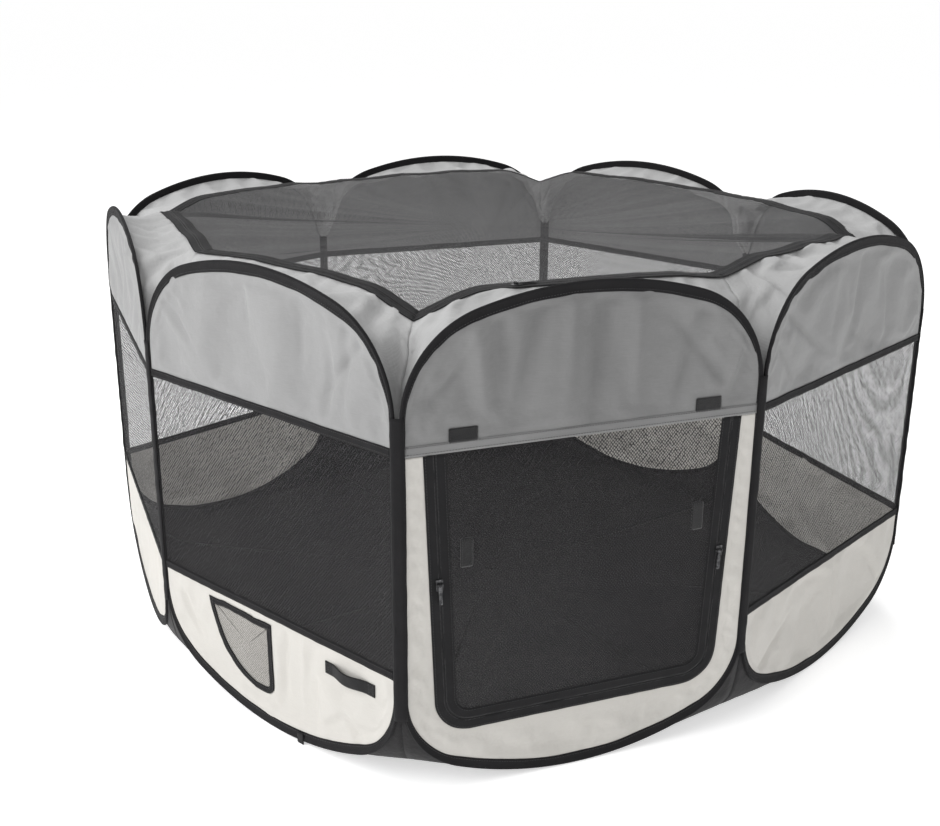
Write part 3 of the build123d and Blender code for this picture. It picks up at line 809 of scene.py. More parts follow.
def doorOutline(inset, top):
    # right half of the doorway, from the middle of its sill up to its top
    d = doorway
    slope = math.tan(d["taper"])
    low = d["sill"] + inset
    lowHalf = d["halfTop"] - (d["hem"] - low) * slope - inset / math.cos(d["taper"])
    r = d["radius"] - inset
    centre = (lowHalf + r * slope - r / math.cos(d["taper"]), low + r)
    sill = linePoints((0.0, low), (centre[0], low), sillCount)
    arc = arcPoints(centre, r, -math.pi / 2, math.pi / 2 - d["taper"], 20)
    z = np.linspace(arc[-1, 1] + 0.004, top, 60)
    side = np.column_stack([lowHalf + (z - low) * slope, z])
    return np.vstack([sill, arc, side])


def doorLoop(inset, top):
    right = doorOutline(inset, top)
    left = right[:0:-1] * (-1, 1)
    return np.vstack([left, right])     # down the left side, along the sill, up the right side


zipLow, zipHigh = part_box("door_zip_tape")
doorway = dict(hem=0.452, halfTop=(zipHigh.x - zipLow.x) / 2, halfBottom=0.195, sill=zipLow.z, radius=0.048)
doorway["taper"] = math.atan2(doorway["halfTop"] - doorway["halfBottom"], doorway["hem"] - doorway["sill"])


surround = dict(cut=(1.2, 0.11), overlap=0.006, footTop=0.3, sideCount=72, footCount=120, rows=15)


def cutAt(path, height):
    # left side, foot and right side of an outline
    left = path[(path[:, 0] < 0) & (path[:, 1] > height)]
    right = path[(path[:, 0] > 0) & (path[:, 1] > height)]
    return left, path[path[:, 1] <= height], right


def sampled(path, count):
    travel = travelAlong(path)
    t = np.linspace(0, travel[-1], count)
    return np.column_stack([np.interp(t, travel, path[:, i]) for i in range(2)])


def surroundGrid():
    # lower cloth of the door panel: from the doorway out to the hoop
    inner = doorLoop(surround["overlap"], doorTop)
    half = pen["wireHalf"] - pen["clothInset"]
    loop = hoopLoop(pen["clothInset"], pen["clothInset"])
    side, corner, crown = loopCounts["side"], loopCounts["corner"], loopCounts["crown"]
    start = side + 2 * corner + crown
    foot = loop[start:]
    foot = foot[foot[:, 1] < surround["footTop"]]
    outer = np.vstack([[(-half, doorTop)], foot, [(half, doorTop)]])
    # match the two outlines side by side and foot by foot
    innerParts = cutAt(inner, doorway["sill"] + doorway["radius"])
    outerParts = cutAt(outer, pen["lowCorner"] + 0.002)
    counts = (surround["sideCount"], surround["footCount"], surround["sideCount"])
    innerPath = np.vstack([sampled(part, count) for part, count in zip(innerParts, counts)])
    outerPath = np.vstack([sampled(part, count) for part, count in zip(outerParts, counts)])
    share = np.linspace(0, 1, surround["rows"])[:, None, None]
    plane = outerPath * (1 - share) + innerPath * share
    grid = np.zeros((*plane.shape[:2], 3))
    grid[..., 0], grid[..., 2] = plane[..., 0], plane[..., 1]
    return grid


def insideVent(grid, inset):
    loop = ventLoop(inset)
    u, z = grid[..., 0], grid[..., 2]
    inside = np.zeros(u.shape, bool)
    for (x0, y0), (x1, y1) in zip(loop, np.roll(loop, -1, axis=0)):
        hit = ((y0 > z) != (y1 > z)) & (u < (x1 - x0) * (z - y0) / (y1 - y0 + 1e-12) + x0)
        inside ^= hit
    return inside


def offsetLoop(loop, distance):
    # a closed anticlockwise loop moved inwards
    before, after = np.roll(loop, 1, axis=0), np.roll(loop, -1, axis=0)
    a = (loop - before) / np.linalg.norm(loop - before, axis=1)[:, None]
    b = (after - loop) / np.linalg.norm(after - loop, axis=1)[:, None]
    na, nb = np.column_stack([-a[:, 1], a[:, 0]]), np.column_stack([-b[:, 1], b[:, 0]])
    n = na + nb
    return loop + distance * n / ((n * na).sum(1)[:, None])


ventSize = dict(left=-0.133, right=0.0, top=0.155, low=0.047, foot=0.039, bulge=0.022, radius=0.016,
                width=0.009, wobble=0.0030, seamInset=0.0018)


def ventLoop(inset):
    v = ventSize
    left, top, right, low = v["left"], v["top"], v["right"], v["low"]
    foot = right - v["foot"]
    r = v["radius"]
    chord = np.array([foot - left, low - top])
    length = np.linalg.norm(chord)
    bow = np.array([chord[1], -chord[0]]) / length
    t = np.linspace(0, 1, 40, endpoint=False)[:, None]
    curve = np.array([left, top]) + chord * t + bow * v["bulge"] * (4 * t * (1 - t))
    sill = linePoints((foot, low), (right - r, low), 10)
    turn = arcPoints((right - r, low + r), r, -math.pi / 2, math.pi / 2, 14)
    side = linePoints((right, low + r), (right, top), 30)
    head = linePoints((right, top), (left, top), 44)
    loop = offsetLoop(np.vstack([curve, sill, turn, side, head]), inset)
    wobble = noiseAt(np.column_stack([loop, loop[:, 0] * 0]), 28.0, 33)
    return loop + v["wobble"] * wobble[:, None] * np.array([0.5, 1.0])


def keptFlat(grid, spots):
    # cloth lies flat under what is sewn on it: spots are (u0, u1, z0, z1)
    mask = np.ones(grid.shape[:2])
    for u0, u1, z0, z1 in spots:
        du = np.maximum(np.maximum(u0 - grid[..., 0], grid[..., 0] - u1), 0)
        dz = np.maximum(np.maximum(z0 - grid[..., 2], grid[..., 2] - z1), 0)
        mask *= smooth(np.hypot(du, dz) / 0.012)
    out = grid.copy()
    out[..., 1] *= mask
    return out


sewnSpots = {
    ("upper", 1): [(-0.24, 0.24, 0.44, hemEdge + 0.0135), (-0.182, -0.140, 0.44, 0.486),
                   (0.140, 0.182, 0.44, 0.486)],
    ("lower", 2): [(-0.138, 0.004, 0.044, 0.171), (0.100, 0.206, 0.124, 0.150)],
}


def bandParts():
    parts = []
    for number in panelNumbers:
        low = hemEdge if number == 1 else pen["windowTop"]
        upper = bandGrid(low, None, bands["upperRows"], bands["columns"])
        upper = rippled(creased(upper, upperCreases.get(number, [])), number, 2, bands["ripple"])
        parts.append(("upper", number, upper))
        if number == 1:
            lower = rippled(surroundGrid(), number, 4, bands["ripple"] * 0.5)
        else:
            lower = bandGrid(None, pen["windowBottom"], bands["lowerRows"], bands["columns"])
            lower = rippled(creased(lower, lowerCreases.get(number, [])), number, 4, bands["ripple"] * 0.9)
        parts.append(("lower", number, lower))
    return parts


def clearance(kind, number, grid):
    return surroundDistance(grid) if (kind, number) == ("lower", 1) else edgeDistance(grid)


def settledBands():
    parts = bandParts()
    points, faces, pins = [], [], []
    for kind, number, grid in parts:
        first = sum(len(p) for p in points)
        held = np.flatnonzero((clearance(kind, number, grid) < 0.001).ravel())
        pins += [first + int(i) for i in held]
        faces += gridFaces(*grid.shape[:2], first=first)
        points.append(toWorld(number, grid).reshape(-1, 3))
    out = settle("bands", np.vstack(points), faces, pins, bands)
    result, first = {}, 0
    for kind, number, grid in parts:
        count = grid.shape[0] * grid.shape[1]
        settled = out[first:first + count].reshape(grid.shape)
        first += count
        middle, _, inward = panels[number]
        v = (settled[..., :2] - middle) @ inward
        cap = bands["cap"]
        local = grid.copy()
        clear = clearance(kind, number, grid)
        local[..., 1] = cap * np.tanh(v / cap) * smooth((clear - 0.0003) / 0.010)
        result[kind, number] = keptFlat(local, sewnSpots.get((kind, number), []))
    return result


def surroundDistance(grid):
    u, z = grid[..., 0], grid[..., 2]
    side = pen["wireHalf"] - pen["sideReach"] - np.abs(u)
    low = z - edgeHeight(u, pen["endReach"], False)
    rows = np.arange(grid.shape[0])[:, None] / (grid.shape[0] - 1)
    inner = np.broadcast_to((0.72 - rows) * 0.05, u.shape)
    return np.minimum(np.minimum(side, low), np.minimum(inner, doorTop - z - 0.004))


def makeBands():
    settled = settledBands()
    for (kind, number), grid in settled.items():
        faces = gridFaces(*grid.shape[:2])
        if kind == "lower" and number == 1:
            faces = [f[::-1] for f in faces]
        uvs = grid[..., [0, 2]] + (number * 0.7, 0)
        name = kind + "_band_" + str(number)
        obj = meshObject(name, toWorld(number, grid), faces, uvs)
        flat = grid.copy()
        flat[..., 1] = 0
        area = sheetArea(flat, faces)
        vented = kind == "lower" and number == 2
        if vented:
            cutVent(obj, number)
            area -= sheetArea(*fanMesh(ventLoop(ventSize["width"] / 2)))
        thicken(obj, pen["clothThickness"], levels=0 if vented else 1)
        grey = kind == "upper"
        # panel 1's upper band takes the darker copy of the grey oxford: painted shade
        finish(obj, "panel_" + str(number), [kind + "_cloth_" + str(number)],
               (shadedDoorGrey if number == 1 else greyCloth) if grey else paleCloth)
        if kind == "lower" and number == 1:
            declareSheet(obj, *surround["cut"], area, "stretched")      # a U, measured along its run
        else:
            declareSheet(obj, 2 * pen["wireHalf"], float(np.ptp(grid[..., 2])), area, "stretched")


def fanMesh(loop):
    centre = loop.mean(0)
    points = np.vstack([loop, [centre]])
    points = np.column_stack([points[:, 0], np.zeros(len(points)), points[:, 1]])
    count = len(loop)
    return points, [(i, (i + 1) % count, count) for i in range(count)]


def cutVent(obj, number):
    sub = obj.modifiers.new("smooth", "SUBSURF")
    sub.levels = sub.render_levels = 1
    baked(obj)
    mesh = obj.data
    co = np.zeros(len(mesh.vertices) * 3)
    mesh.vertices.foreach_get("co", co)
    co = co.reshape(-1, 3)
    local = np.column_stack([alongPanel(number, co[:, :2]), np.zeros(len(co)), co[:, 2]])
    gone = insideVent(local, ventSize["width"] * 0.3)
    bm = bmesh.new()
    bm.from_mesh(mesh)
    bm.verts.ensure_lookup_table()
    bmesh.ops.delete(bm, geom=[bm.verts[int(i)] for i in np.flatnonzero(gone)], context="VERTS")
    bm.to_mesh(mesh)
    bm.free()


makeBands()
print("cloth bands in")


# window nets and their tapes
windowNet = dict(columns=49, rows=37, ripple=0.0022, cutShare=0.995)
windowTape = dict(rows=5, columns=97, lift=0.0007, stitchInset=0.0022, pucker=0.0006, wave=0.0007)


def flatTape(name, number, path, width, lift, body, nodes, material, seed,
             pucker=windowTape["pucker"]):
    # a tape sewn on along a path of (u, z), centred on it
    path = np.asarray(path, float)
    ahead = np.gradient(path, axis=0)
    ahead /= np.linalg.norm(ahead, axis=1)[:, None]
    across = np.column_stack([-ahead[:, 1], ahead[:, 0]])
    shares = np.linspace(-0.5, 0.5, windowTape["rows"])
    grid = np.empty((len(shares), len(path), 3))
    for r, share in enumerate(shares):
        plane = path + across * share * width
        grid[r, :, 0], grid[r, :, 2] = plane[:, 0], plane[:, 1]
        grid[r, :, 1] = -lift
    place = np.stack([grid[..., 0], grid[..., 1] * 0 + seed, grid[..., 2]], -1)
    grid[..., 1] -= pucker * (0.5 + noiseAt(place, 70.0, seed))
    travel = travelAlong(path)
    uvs = uvGrid(travel[None, :], (shares * width)[:, None])
    obj = meshObject(name, toWorld(number, grid), gridFaces(*grid.shape[:2]), uvs)
    thicken(obj, pen["tapeThickness"])
    return finish(obj, body, nodes, material)


def makeWindow(number):
    text = str(number)
    grid = bandGrid(pen["windowBottom"], pen["windowTop"], windowNet["rows"], windowNet["columns"])
    grid = rippled(grid, number, 8, windowNet["ripple"], (7.0, 4.0))
    grid[..., 1] *= smooth(edgeDistance(grid) / 0.03)
    faces = gridFaces(*grid.shape[:2])
    obj = meshObject("side_net_" + text, toWorld(number, grid), faces, grid[..., [0, 2]])
    finish(obj, "panel_" + text, ["mesh_window_" + text], sideNet)
    width, height = 2 * pen["wireHalf"], pen["windowTop"] - pen["windowBottom"]
    declareSheet(obj, width, height, sheetArea(grid, faces) * windowNet["cutShare"], "stretched")
    half = pen["wireHalf"] - pen["sideReach"] + 0.0015
    seams = []
    u = np.linspace(-half, half, windowTape["columns"])
    for z, label in ((pen["windowBottom"], "low"), (pen["windowTop"], "high")):
        wave = windowTape["wave"] * noiseAt(np.column_stack([u, u * 0 + number, u * 0 + z]), 30.0, 5)
        path = np.column_stack([u, z + wave])
        for side in (1, -1):
            flatTape("window_tape_" + label + ("_out_" if side > 0 else "_in_") + text, number, path,
                     pen["tapeWidth"], side * windowTape["lift"], "panel_" + text,
                     ["binding_" + text], blackTape, number * 3 + side)
        for offset in (-1, 1):
            shift = offset * (pen["tapeWidth"] / 2 - windowTape["stitchInset"])
            local = np.column_stack([path[:, 0], np.full(len(path), -pen["seamDepth"]), path[:, 1] + shift])
            seams.append(toWorld(number, local))
    sewSeams("window_stitches_" + text, seams, number, "panel_" + text)


for number in range(2, 9):
    makeWindow(number)
print("window nets in")


# the door's zip
zipper = dict(tape=0.011, closedTo=0.0138, coilStart=0.0113, coilHalf=0.0020, coilGap=0.0012, doorTape=0.0171,
              pitch=0.0017, toothSize=(0.0010, 0.0024, 0.0016), depth=-0.0006, tapeGap=0.0002,
              seamInset=0.0025, edgeSeamInset=0.0086, edgeSeamDrop=0.005)
doorNet = dict(inset=0.006, columns=61, wrinkle=0.004, cutShare=0.99)
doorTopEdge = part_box("door_mesh")[1].z


def stripGrid(insets, top, depth):
    paths = [doorLoop(inset, top) for inset in insets]
    grid = np.zeros((len(insets), len(paths[0]), 3))
    for r, path in enumerate(paths):
        grid[r, :, 0], grid[r, :, 2] = path[:, 0], path[:, 1]
    grid[..., 1] = depth
    return grid


def makeDoorStrip(name, first, last, body, node, seed):
    insets = np.linspace(first, last, 5)
    grid = stripGrid(insets, doorTopEdge, zipper["depth"])
    grid[..., 1] -= 0.0006 * (0.4 + noiseAt(grid + (seed, 0, 0), 60.0, seed))
    travel = travelAlong(grid[2])
    uvs = uvGrid((insets - first)[:, None], travel[None, :])
    obj = meshObject(name, toWorld(1, grid), [f[::-1] for f in gridFaces(*grid.shape[:2])], uvs)
    thicken(obj, pen["tapeThickness"])
    finish(obj, body, [node], zipTape)


def pathAtInset(inset, top, depth):
    path = doorLoop(inset, top)
    return toWorld(1, np.column_stack([path[:, 0], np.full(len(path), depth), path[:, 1]]))


def makeDoor():
    z = zipper
    makeDoorStrip("door_zip_strip", 0.0, z["closedTo"], "panel_1", "door_zip_tape", 1)
    makeDoorStrip("door_edge_strip", z["closedTo"] + z["tapeGap"], z["doorTape"] + z["tape"], "door",
                  "door_edge_tape", 2)
    first = z["coilStart"] + z["coilHalf"] / 2
    second = first + z["coilHalf"] + z["coilGap"]
    rows = [pathAtInset(inset, doorTopEdge, z["depth"]) for inset in (first, second)]
    teeth = bitsAlong("door_zip_teeth", rows, z["pitch"], z["toothSize"], outward(1), zipTeeth)
    finish(teeth, "panel_1", ["door_zip_coil"], zipTeeth)
    seam = pathAtInset(z["seamInset"], doorTopEdge, -pen["seamDepth"])
    sewSeams("door_zip_stitches", [seam], 1, "panel_1")
    seam = pathAtInset(z["doorTape"] + z["edgeSeamInset"], doorTopEdge - z["edgeSeamDrop"], -pen["seamDepth"])
    sewSeams("door_edge_stitches", [seam], 1, "door")
    # the net, from the sill's arc up
    edge = doorOutline(z["doorTape"] + doorNet["inset"], doorTopEdge)[sillCount:]
    columns = np.linspace(-1, 1, doorNet["columns"])
    grid = np.zeros((len(edge), len(columns), 3))
    grid[..., 0], grid[..., 2] = edge[:, :1] * columns, edge[:, 1:]
    high = doorTopEdge - grid[..., 2]
    free = np.minimum(np.minimum(edge[:, :1] - np.abs(grid[..., 0]), grid[..., 2] - edge[0, 1]), high)
    wrinkles = noiseAt(np.stack([grid[..., 0] * 9, grid[..., 2] * 5, grid[..., 0] * 0], -1), 1.0, 21)
    grid[..., 1] += doorNet["wrinkle"] * wrinkles * smooth(free / 0.05)
    faces = gridFaces(*grid.shape[:2])
    net = meshObject("door_net", toWorld(1, grid), faces, grid[..., [0, 2]])
    finish(net, "door", ["door_mesh"], sideNet)
    width, height = 2 * float(edge[:, 0].max()), float(np.ptp(edge[:, 1]))
    declareSheet(net, width, height, sheetArea(grid, faces) * doorNet["cutShare"], "hung")


makeDoor()


def softPatch(name, number, spot, base, thickness, radius, body, nodes, material, seed):
    # a small sewn piece: a slab with rounded corners and softened edges; spot is (u0, u1, z0, z1)
    u0, u1, z0, z1 = spot
    rows, columns = 15, 19
    s, t = np.meshgrid(np.linspace(-1, 1, columns), np.linspace(-1, 1, rows))
    halfU, halfZ = (u1 - u0) / 2, (z1 - z0) / 2
    # pull the corners in to a round
    du = np.maximum(np.abs(s) * halfU - (halfU - radius), 0)
    dz = np.maximum(np.abs(t) * halfZ - (halfZ - radius), 0)
    over = np.hypot(du, dz)
    biggest = np.maximum(du, dz)
    pull = np.where((over > 0) & (du > 0) & (dz > 0), biggest / np.maximum(over, 1e-9), 1.0)
    u = np.sign(s) * (np.abs(s) * halfU - du + du * pull)
    z = np.sign(t) * (np.abs(t) * halfZ - dz + dz * pull)
    rim = np.minimum(1 - np.abs(s), 1 - np.abs(t))
    height = thickness * (0.55 + 0.45 * smooth(rim / 0.16))
    grid = np.stack([u + (u0 + u1) / 2, -(base + height), z + (z0 + z1) / 2], -1)
    grid[..., 1] -= 0.0003 * noiseAt(grid, 160.0, seed)
    back = grid.copy()
    back[..., 1] = -base
    count = rows * columns
    faces = gridFaces(rows, columns)
    faces += [tuple(count + i for i in f[::-1]) for f in faces]
    border = list(range(columns)) + [r * columns + columns - 1 for r in range(1, rows)]
    border += [(rows - 1) * columns + c for c in range(columns - 2, -1, -1)]
    border += [r * columns for r in range(rows - 2, 0, -1)]
    for a, b in zip(border, border[1:] + border[:1]):
        faces.append((b, a, count + a, count + b))
    points = np.vstack([grid.reshape(-1, 3), back.reshape(-1, 3)])
    obj = meshObject(name, toWorld(number, points), faces, points[:, [0, 2]])
    return finish(obj, body, nodes, material)


def patchStitches(name, number, spot, base, inset, body, cross=False):
    u0, u1, z0, z1 = spot[0] + inset, spot[1] - inset, spot[2] + inset, spot[3] - inset
    box = [(u0, z0), (u1, z0), (u1, z1), (u0, z1), (u0, z0)]
    paths = [box]
    if cross:
        paths.append([(u0, z0), (u1, z1)])
        paths.append([(u0, z1), (u1, z0)])
    seams = [toWorld(number, [(u, -base, z) for u, z in path]) for path in paths]
    obj = bitsAlong(name, seams, 0.0030, (0.0023, 0.0006, 0.0005), outward(number), blackThread)
    return finish(obj, body, None, blackThread)


def boxSpots(node, number):
    # spots (u0, u1, z0, z1) of a node on a panel, one for each side of the middle
    obj = frame["nodes"][node]
    co = np.zeros(len(obj.data.vertices) * 3)
    obj.data.vertices.foreach_get("co", co)
    co = co.reshape(-1, 3)
    u = alongPanel(number, co[:, :2])
    spots = []
    for side in (u < 0, u > 0):
        if side.any():
            spots.append((u[side].min(), u[side].max(), co[side, 2].min(), co[side, 2].max()))
    return spots


hem = dict(height=0.013, lift=0.0006, pucker=0.0004, stitchGap=0.003)


def makeHem():
    half = pen["wireHalf"] - pen["sideReach"] + 0.001
    u = np.linspace(-half, half, 121)
    middle = hemEdge + hem["height"] / 2
    path = np.column_stack([u, np.full(len(u), middle)])
    # the hem takes the darker copy of the grey oxford: painted shade
    flatTape("hem_fold", 1, path, hem["height"], hem["lift"], "panel_1", ["upper_cloth_1"],
             shadedDoorGrey, 9, hem["pucker"])
    rows = [hemEdge + hem["stitchGap"], hemEdge + hem["height"] - hem["stitchGap"] / 2]
    depth = np.full(len(u), -pen["seamDepth"])
    seams = [toWorld(1, np.column_stack([u, depth, np.full(len(u), z)])) for z in rows]
    sewSeams("hem_stitches", seams, 1, "panel_1")


patches = dict(tabBase=0.0009, padBase=0.0003, thickness=0.0012, radius=0.002, stitchInset=0.002,
               stitchLift=0.0001)
pegLoop = dict(thickness=0.0016, radius=0.001)


def makePatches():
    p = patches
    for label, body, base, seed in (("hem_tab", "panel_1", p["tabBase"], 3),
                                    ("door_pad", "door", p["padBase"], 4)):
        node = label + "s"
        for side, spot in zip(("left", "right"), boxSpots(node, 1)):
            softPatch(label + "_" + side, 1, spot, base, p["thickness"], p["radius"], body, [node],
                      hooksAndLoops, seed)
            patchStitches(label + "_stitches_" + side, 1, spot, base + p["thickness"] + p["stitchLift"],
                          p["stitchInset"], body)
    spot = boxSpots("ground_tab", 2)[0]
    softPatch("ground_tab_tape", 2, spot, pen["beadRadius"], pegLoop["thickness"], pegLoop["radius"],
              "panel_2", ["ground_tab"], webbing, 5)


makeHem()
makePatches()
print("door hung")


def ventPath(inset, depth):
    loop = ventLoop(inset)
    loop = np.vstack([loop, loop[:1]])
    return toWorld(2, np.column_stack([loop[:, 0], np.full(len(loop), depth), loop[:, 1]]))


def makeVent():
    width = ventSize["width"]
    insets = np.linspace(0, width, 5)
    loops = [ventLoop(i) for i in insets]
    grid = np.stack([np.column_stack([l[:, 0], np.full(len(l), -0.0007), l[:, 1]]) for l in loops])
    grid[..., 1] -= 0.0006 * (0.4 + noiseAt(grid, 80.0, 31))
    travel = travelAlong(loops[0])
    uvs = uvGrid(travel[None, :], insets[:, None])
    obj = meshObject("vent_tape", toWorld(2, grid), gridFaces(*grid.shape[:2], closeColumns=True), uvs)
    thicken(obj, pen["tapeThickness"])
    finish(obj, "panel_2", ["vent_binding"], blackTape)
    points, faces = fanMesh(ventLoop(width * 0.6))
    net = meshObject("vent_net", toWorld(2, points), faces, points[:, [0, 2]])
    finish(net, "panel_2", ["vent_mesh"], ventNet)
    size = ventSize["right"] - ventSize["left"], ventSize["top"] - ventSize["low"]
    declareSheet(net, *size, sheetArea(points, faces), "stretched")
    seamInset = ventSize["seamInset"]
    seams = [ventPath(i, -pen["seamDepth"]) for i in (seamInset, width - seamInset)]
    sewSeams("vent_stitches", seams, 2, "panel_2")


strap = dict(end=0.012, rise=0.0062, thickness=0.0015, base=0.0006, stitchBase=0.0024, stitchInset=0.0015)


def makeStrap():
    u0, u1, z0, z1 = boxSpots("webbing_strap", 2)[-1]
    u = np.linspace(u0, u1, 61)
    t = np.clip((u - u0 - strap["end"]) / (u1 - u0 - 2 * strap["end"]), 0, 1)
    rise = strap["rise"] * np.sin(math.pi * t) ** 1.3 * (1 + 0.12 * np.sin(2.6 * math.pi * t))
    shares = np.linspace(0, 1, 9)
    grid = np.empty((len(shares), len(u), 3))
    for r, share in enumerate(shares):
        sag = 0.0012 * np.sin(math.pi * t) * (share - 0.5)
        grid[r, :, 0], grid[r, :, 2] = u, z0 + (z1 - z0) * share + 0.0008 * np.sin(3 * math.pi * t)
        grid[r, :, 1] = -(strap["base"] + strap["thickness"] / 2 + rise + sag)
    uvs = uvGrid(u[None, :], (shares * (z1 - z0))[:, None])
    obj = meshObject("strap_webbing", toWorld(2, grid), gridFaces(*grid.shape[:2]), uvs)
    thicken(obj, strap["thickness"])
    finish(obj, "panel_2", ["webbing_strap"], webbing)
    ends = dict(left=(u0, u0 + strap["end"], z0, z1), right=(u1 - strap["end"], u1, z0, z1))
    for side, spot in ends.items():
        patchStitches("strap_stitches_" + side, 2, spot, strap["stitchBase"], strap["stitchInset"], "panel_2",
                      cross=True)


makeVent()
makeStrap()
print("vent and strap sewn")


def squashOnto(obj, number):
    middle, _, inward = panels[number]
    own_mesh(obj)


# insets are measured from a panel's plane
ring = dict(height=0.618, drop=0.033, innerDrop=0.006, flatHalf=0.095, wave=0.0045, outer=0.0754, tape=0.0105,
            coil=0.0858, coilWidth=0.0052, innerTape=0.0913, net=0.1012, middle=0.602, columns=45,
            toothPitch=0.0020, toothSize=(0.0012, 0.0026, 0.0018), stitchPitch=0.0040)


def ringHeight(number, plan):
    # the corner at a panel's left end is pushed out when the panel's number is odd
    u = alongPanel(number, plan) * (-1 if number % 2 else 1)
    drop = np.where(u > 0, ring["drop"], ring["innerDrop"])
    drop = drop * smooth((np.abs(u) - ring["flatHalf"]) / 0.125)
    wave = ring["wave"] * noiseAt(directions(onGround(plan)), 6.0, 71)
    if number == 1:
        # level where the slider runs
        wave = wave * smooth((np.abs(u) - 0.12) / 0.08)
    return ring["height"] - drop + wave


ringShares = np.linspace(-1, 1, ring["columns"])


def sectorGrid(number, insets):
    share, inset = np.meshgrid(ringShares, insets)
    plan = sectorPlan(number, share, inset)
    return plan, share, inset


collar = dict(rows=19, slack=0.065, frames=22, stiffness=12.0, bending=0.12, gravity=0.6, rumple=0.010,
              pleats=46.0, pleatDepth=0.0045, thickness=0.0008, cut=(0.50, 0.17), cutShare=0.97)


def collarGrid(number):
    insets = np.linspace(0.0026, ring["outer"] + 0.002, collar["rows"] - 1)
    insets = np.append(insets, ring["outer"] + 0.009)
    plan, share, inset = sectorGrid(number, insets)
    u = np.clip(np.abs(alongPanel(number, plan[:1])), 0, pen["wireHalf"] - 0.006)
    edge = np.broadcast_to(edgeHeight(u, 0.010, True), share.shape)
    inner = np.broadcast_to(ringHeight(number, plan[-1:]) - 0.0006, share.shape)
    t = np.clip((inset - insets[0]) / (insets[-2] - insets[0]), 0, 1)
    z = edge * (1 - t) + inner * t
    # slack between the two seams
    grid = np.dstack([plan, z])
    sag = 4 * t * (1 - t)
    grid[..., 2] += sag * (collar["rumple"] * noiseAt(grid, 26.0, 81) - 0.003)
    # pleats running in from the dips between the arches
    pleats = np.sin(share * collar["pleats"] + 3 * noiseAt(grid, 12.0, 82))
    pleats = pleats * smooth((np.abs(share) - 0.5) / 0.3)
    grid[..., 2] += collar["pleatDepth"] * pleats * sag ** 0.7
    return grid


def ringAround(grids):
    return np.concatenate([g[:, :-1] for g in grids], axis=1)


def fromRing(whole, position):
    columns = ring["columns"] - 1
    index = (np.arange(columns + 1) + position * columns) % whole.shape[1]
    return whole[:, index]


def makeCollar():
    whole = ringAround([collarGrid(n) for n in aroundPen])
    rows, columns = whole.shape[:2]
    pins = list(range(columns)) + list(range((rows - 2) * columns, rows * columns))
    out = settle("collar", whole.reshape(-1, 3), gridFaces(rows, columns, True), pins, collar,
                 collar["gravity"])
    whole = out.reshape(whole.shape)
    for position, number in enumerate(aroundPen):
        grid = fromRing(whole, position)
        text = str(number)
        faces = gridFaces(*grid.shape[:2])
        uvs = uvGrid(alongPanel(number, grid[..., :2]), np.linspace(0, 0.09, rows)[:, None])
        obj = meshObject("shoulder_" + text, grid, faces, uvs)
        area = sheetArea(grid, faces)
        thicken(obj, collar["thickness"], levels=1)
        finish(obj, "panel_" + text, ["shoulder_collar"], collarCloth)
        squashOnto(obj, number)
        declareSheet(obj, *collar["cut"], area * collar["cutShare"], "gathered")


def makeRingZip():
    for number in aroundPen:
        text = str(number)
        meeting = ring["coil"] + ring["coilWidth"] / 2
        for label, first, last in (("outer", ring["outer"], meeting - 0.0001),
                                   ("inner", meeting + 0.0001, ring["innerTape"] + ring["tape"])):
            insets = np.linspace(first, last, 5)
            plan, share, inset = sectorGrid(number, insets)
            z = ringHeight(number, plan) + 0.0008 + 0.0006 * noiseAt(np.dstack([plan, share * 0]), 90.0, 83)
            grid = np.dstack([plan, z])
            travel = alongPanel(number, plan)
            uvs = np.stack([inset, travel], -1)
            obj = meshObject("ring_tape_" + label + "_" + text, grid, gridFaces(*grid.shape[:2]), uvs)
            thicken(obj, pen["tapeThickness"])
            finish(obj, "panel_" + text, ["top_zip_tapes"], zipTape)
            squashOnto(obj, number)
        paths, seams = [], []
        lastTape = ring["innerTape"] + ring["tape"]
        for inset, into in ((ring["coil"] + 0.0010, paths),
                            (ring["coil"] + ring["coilWidth"] - 0.0010, paths),
                            (ring["outer"] + 0.002, seams), (lastTape - 0.002, seams)):
            plan, share, _ = sectorGrid(number, np.array([inset]))
            z = ringHeight(number, plan) + (0.0012 if into is paths else 0.0018)
            into.append(np.dstack([plan, z])[0])
        up = Vector((0, 0, 1))
        teeth = bitsAlong("ring_teeth_" + text, paths, ring["toothPitch"], ring["toothSize"], up, zipTeeth)
        finish(teeth, "panel_" + text, ["top_zip_coil"], zipTeeth)
        squashOnto(teeth, number)
        stitches = bitsAlong("ring_stitches_" + text, seams, ring["stitchPitch"], sleeve["stitchSize"], up,
                             blackThread)
        finish(stitches, "panel_" + text, None, blackThread)
        squashOnto(stitches, number)


topCover = dict(rows=34, sag=0.0048, wrinkle=0.0060, swell=0.005, cut=(0.48, 0.48), cutShare=0.99)


def radialMesh(name, number, insets, height):
    # rows from the edge to one point in the middle of the pen
    plan, share, inset = sectorGrid(number, insets)
    grid = np.dstack([plan, height(number, plan, share, inset)])
    rows, columns = grid.shape[:2]
    middle = float(height(number, np.zeros((1, 1, 2)), np.zeros((1, 1)), np.full((1, 1), penReach))[0, 0])
    points = np.vstack([grid.reshape(-1, 3), [(0.0, 0.0, middle)]])
    faces = gridFaces(rows, columns)
    tip = rows * columns
    faces += [(tip - columns + c, tip - columns + c + 1, tip) for c in range(columns - 1)]
    inward = (points[:, :2] - panels[number][0]) @ panels[number][2]
    uvs = np.column_stack([alongPanel(number, points[:, :2]), inward])
    return meshObject(name, points, faces, uvs), sheetArea(points, faces)


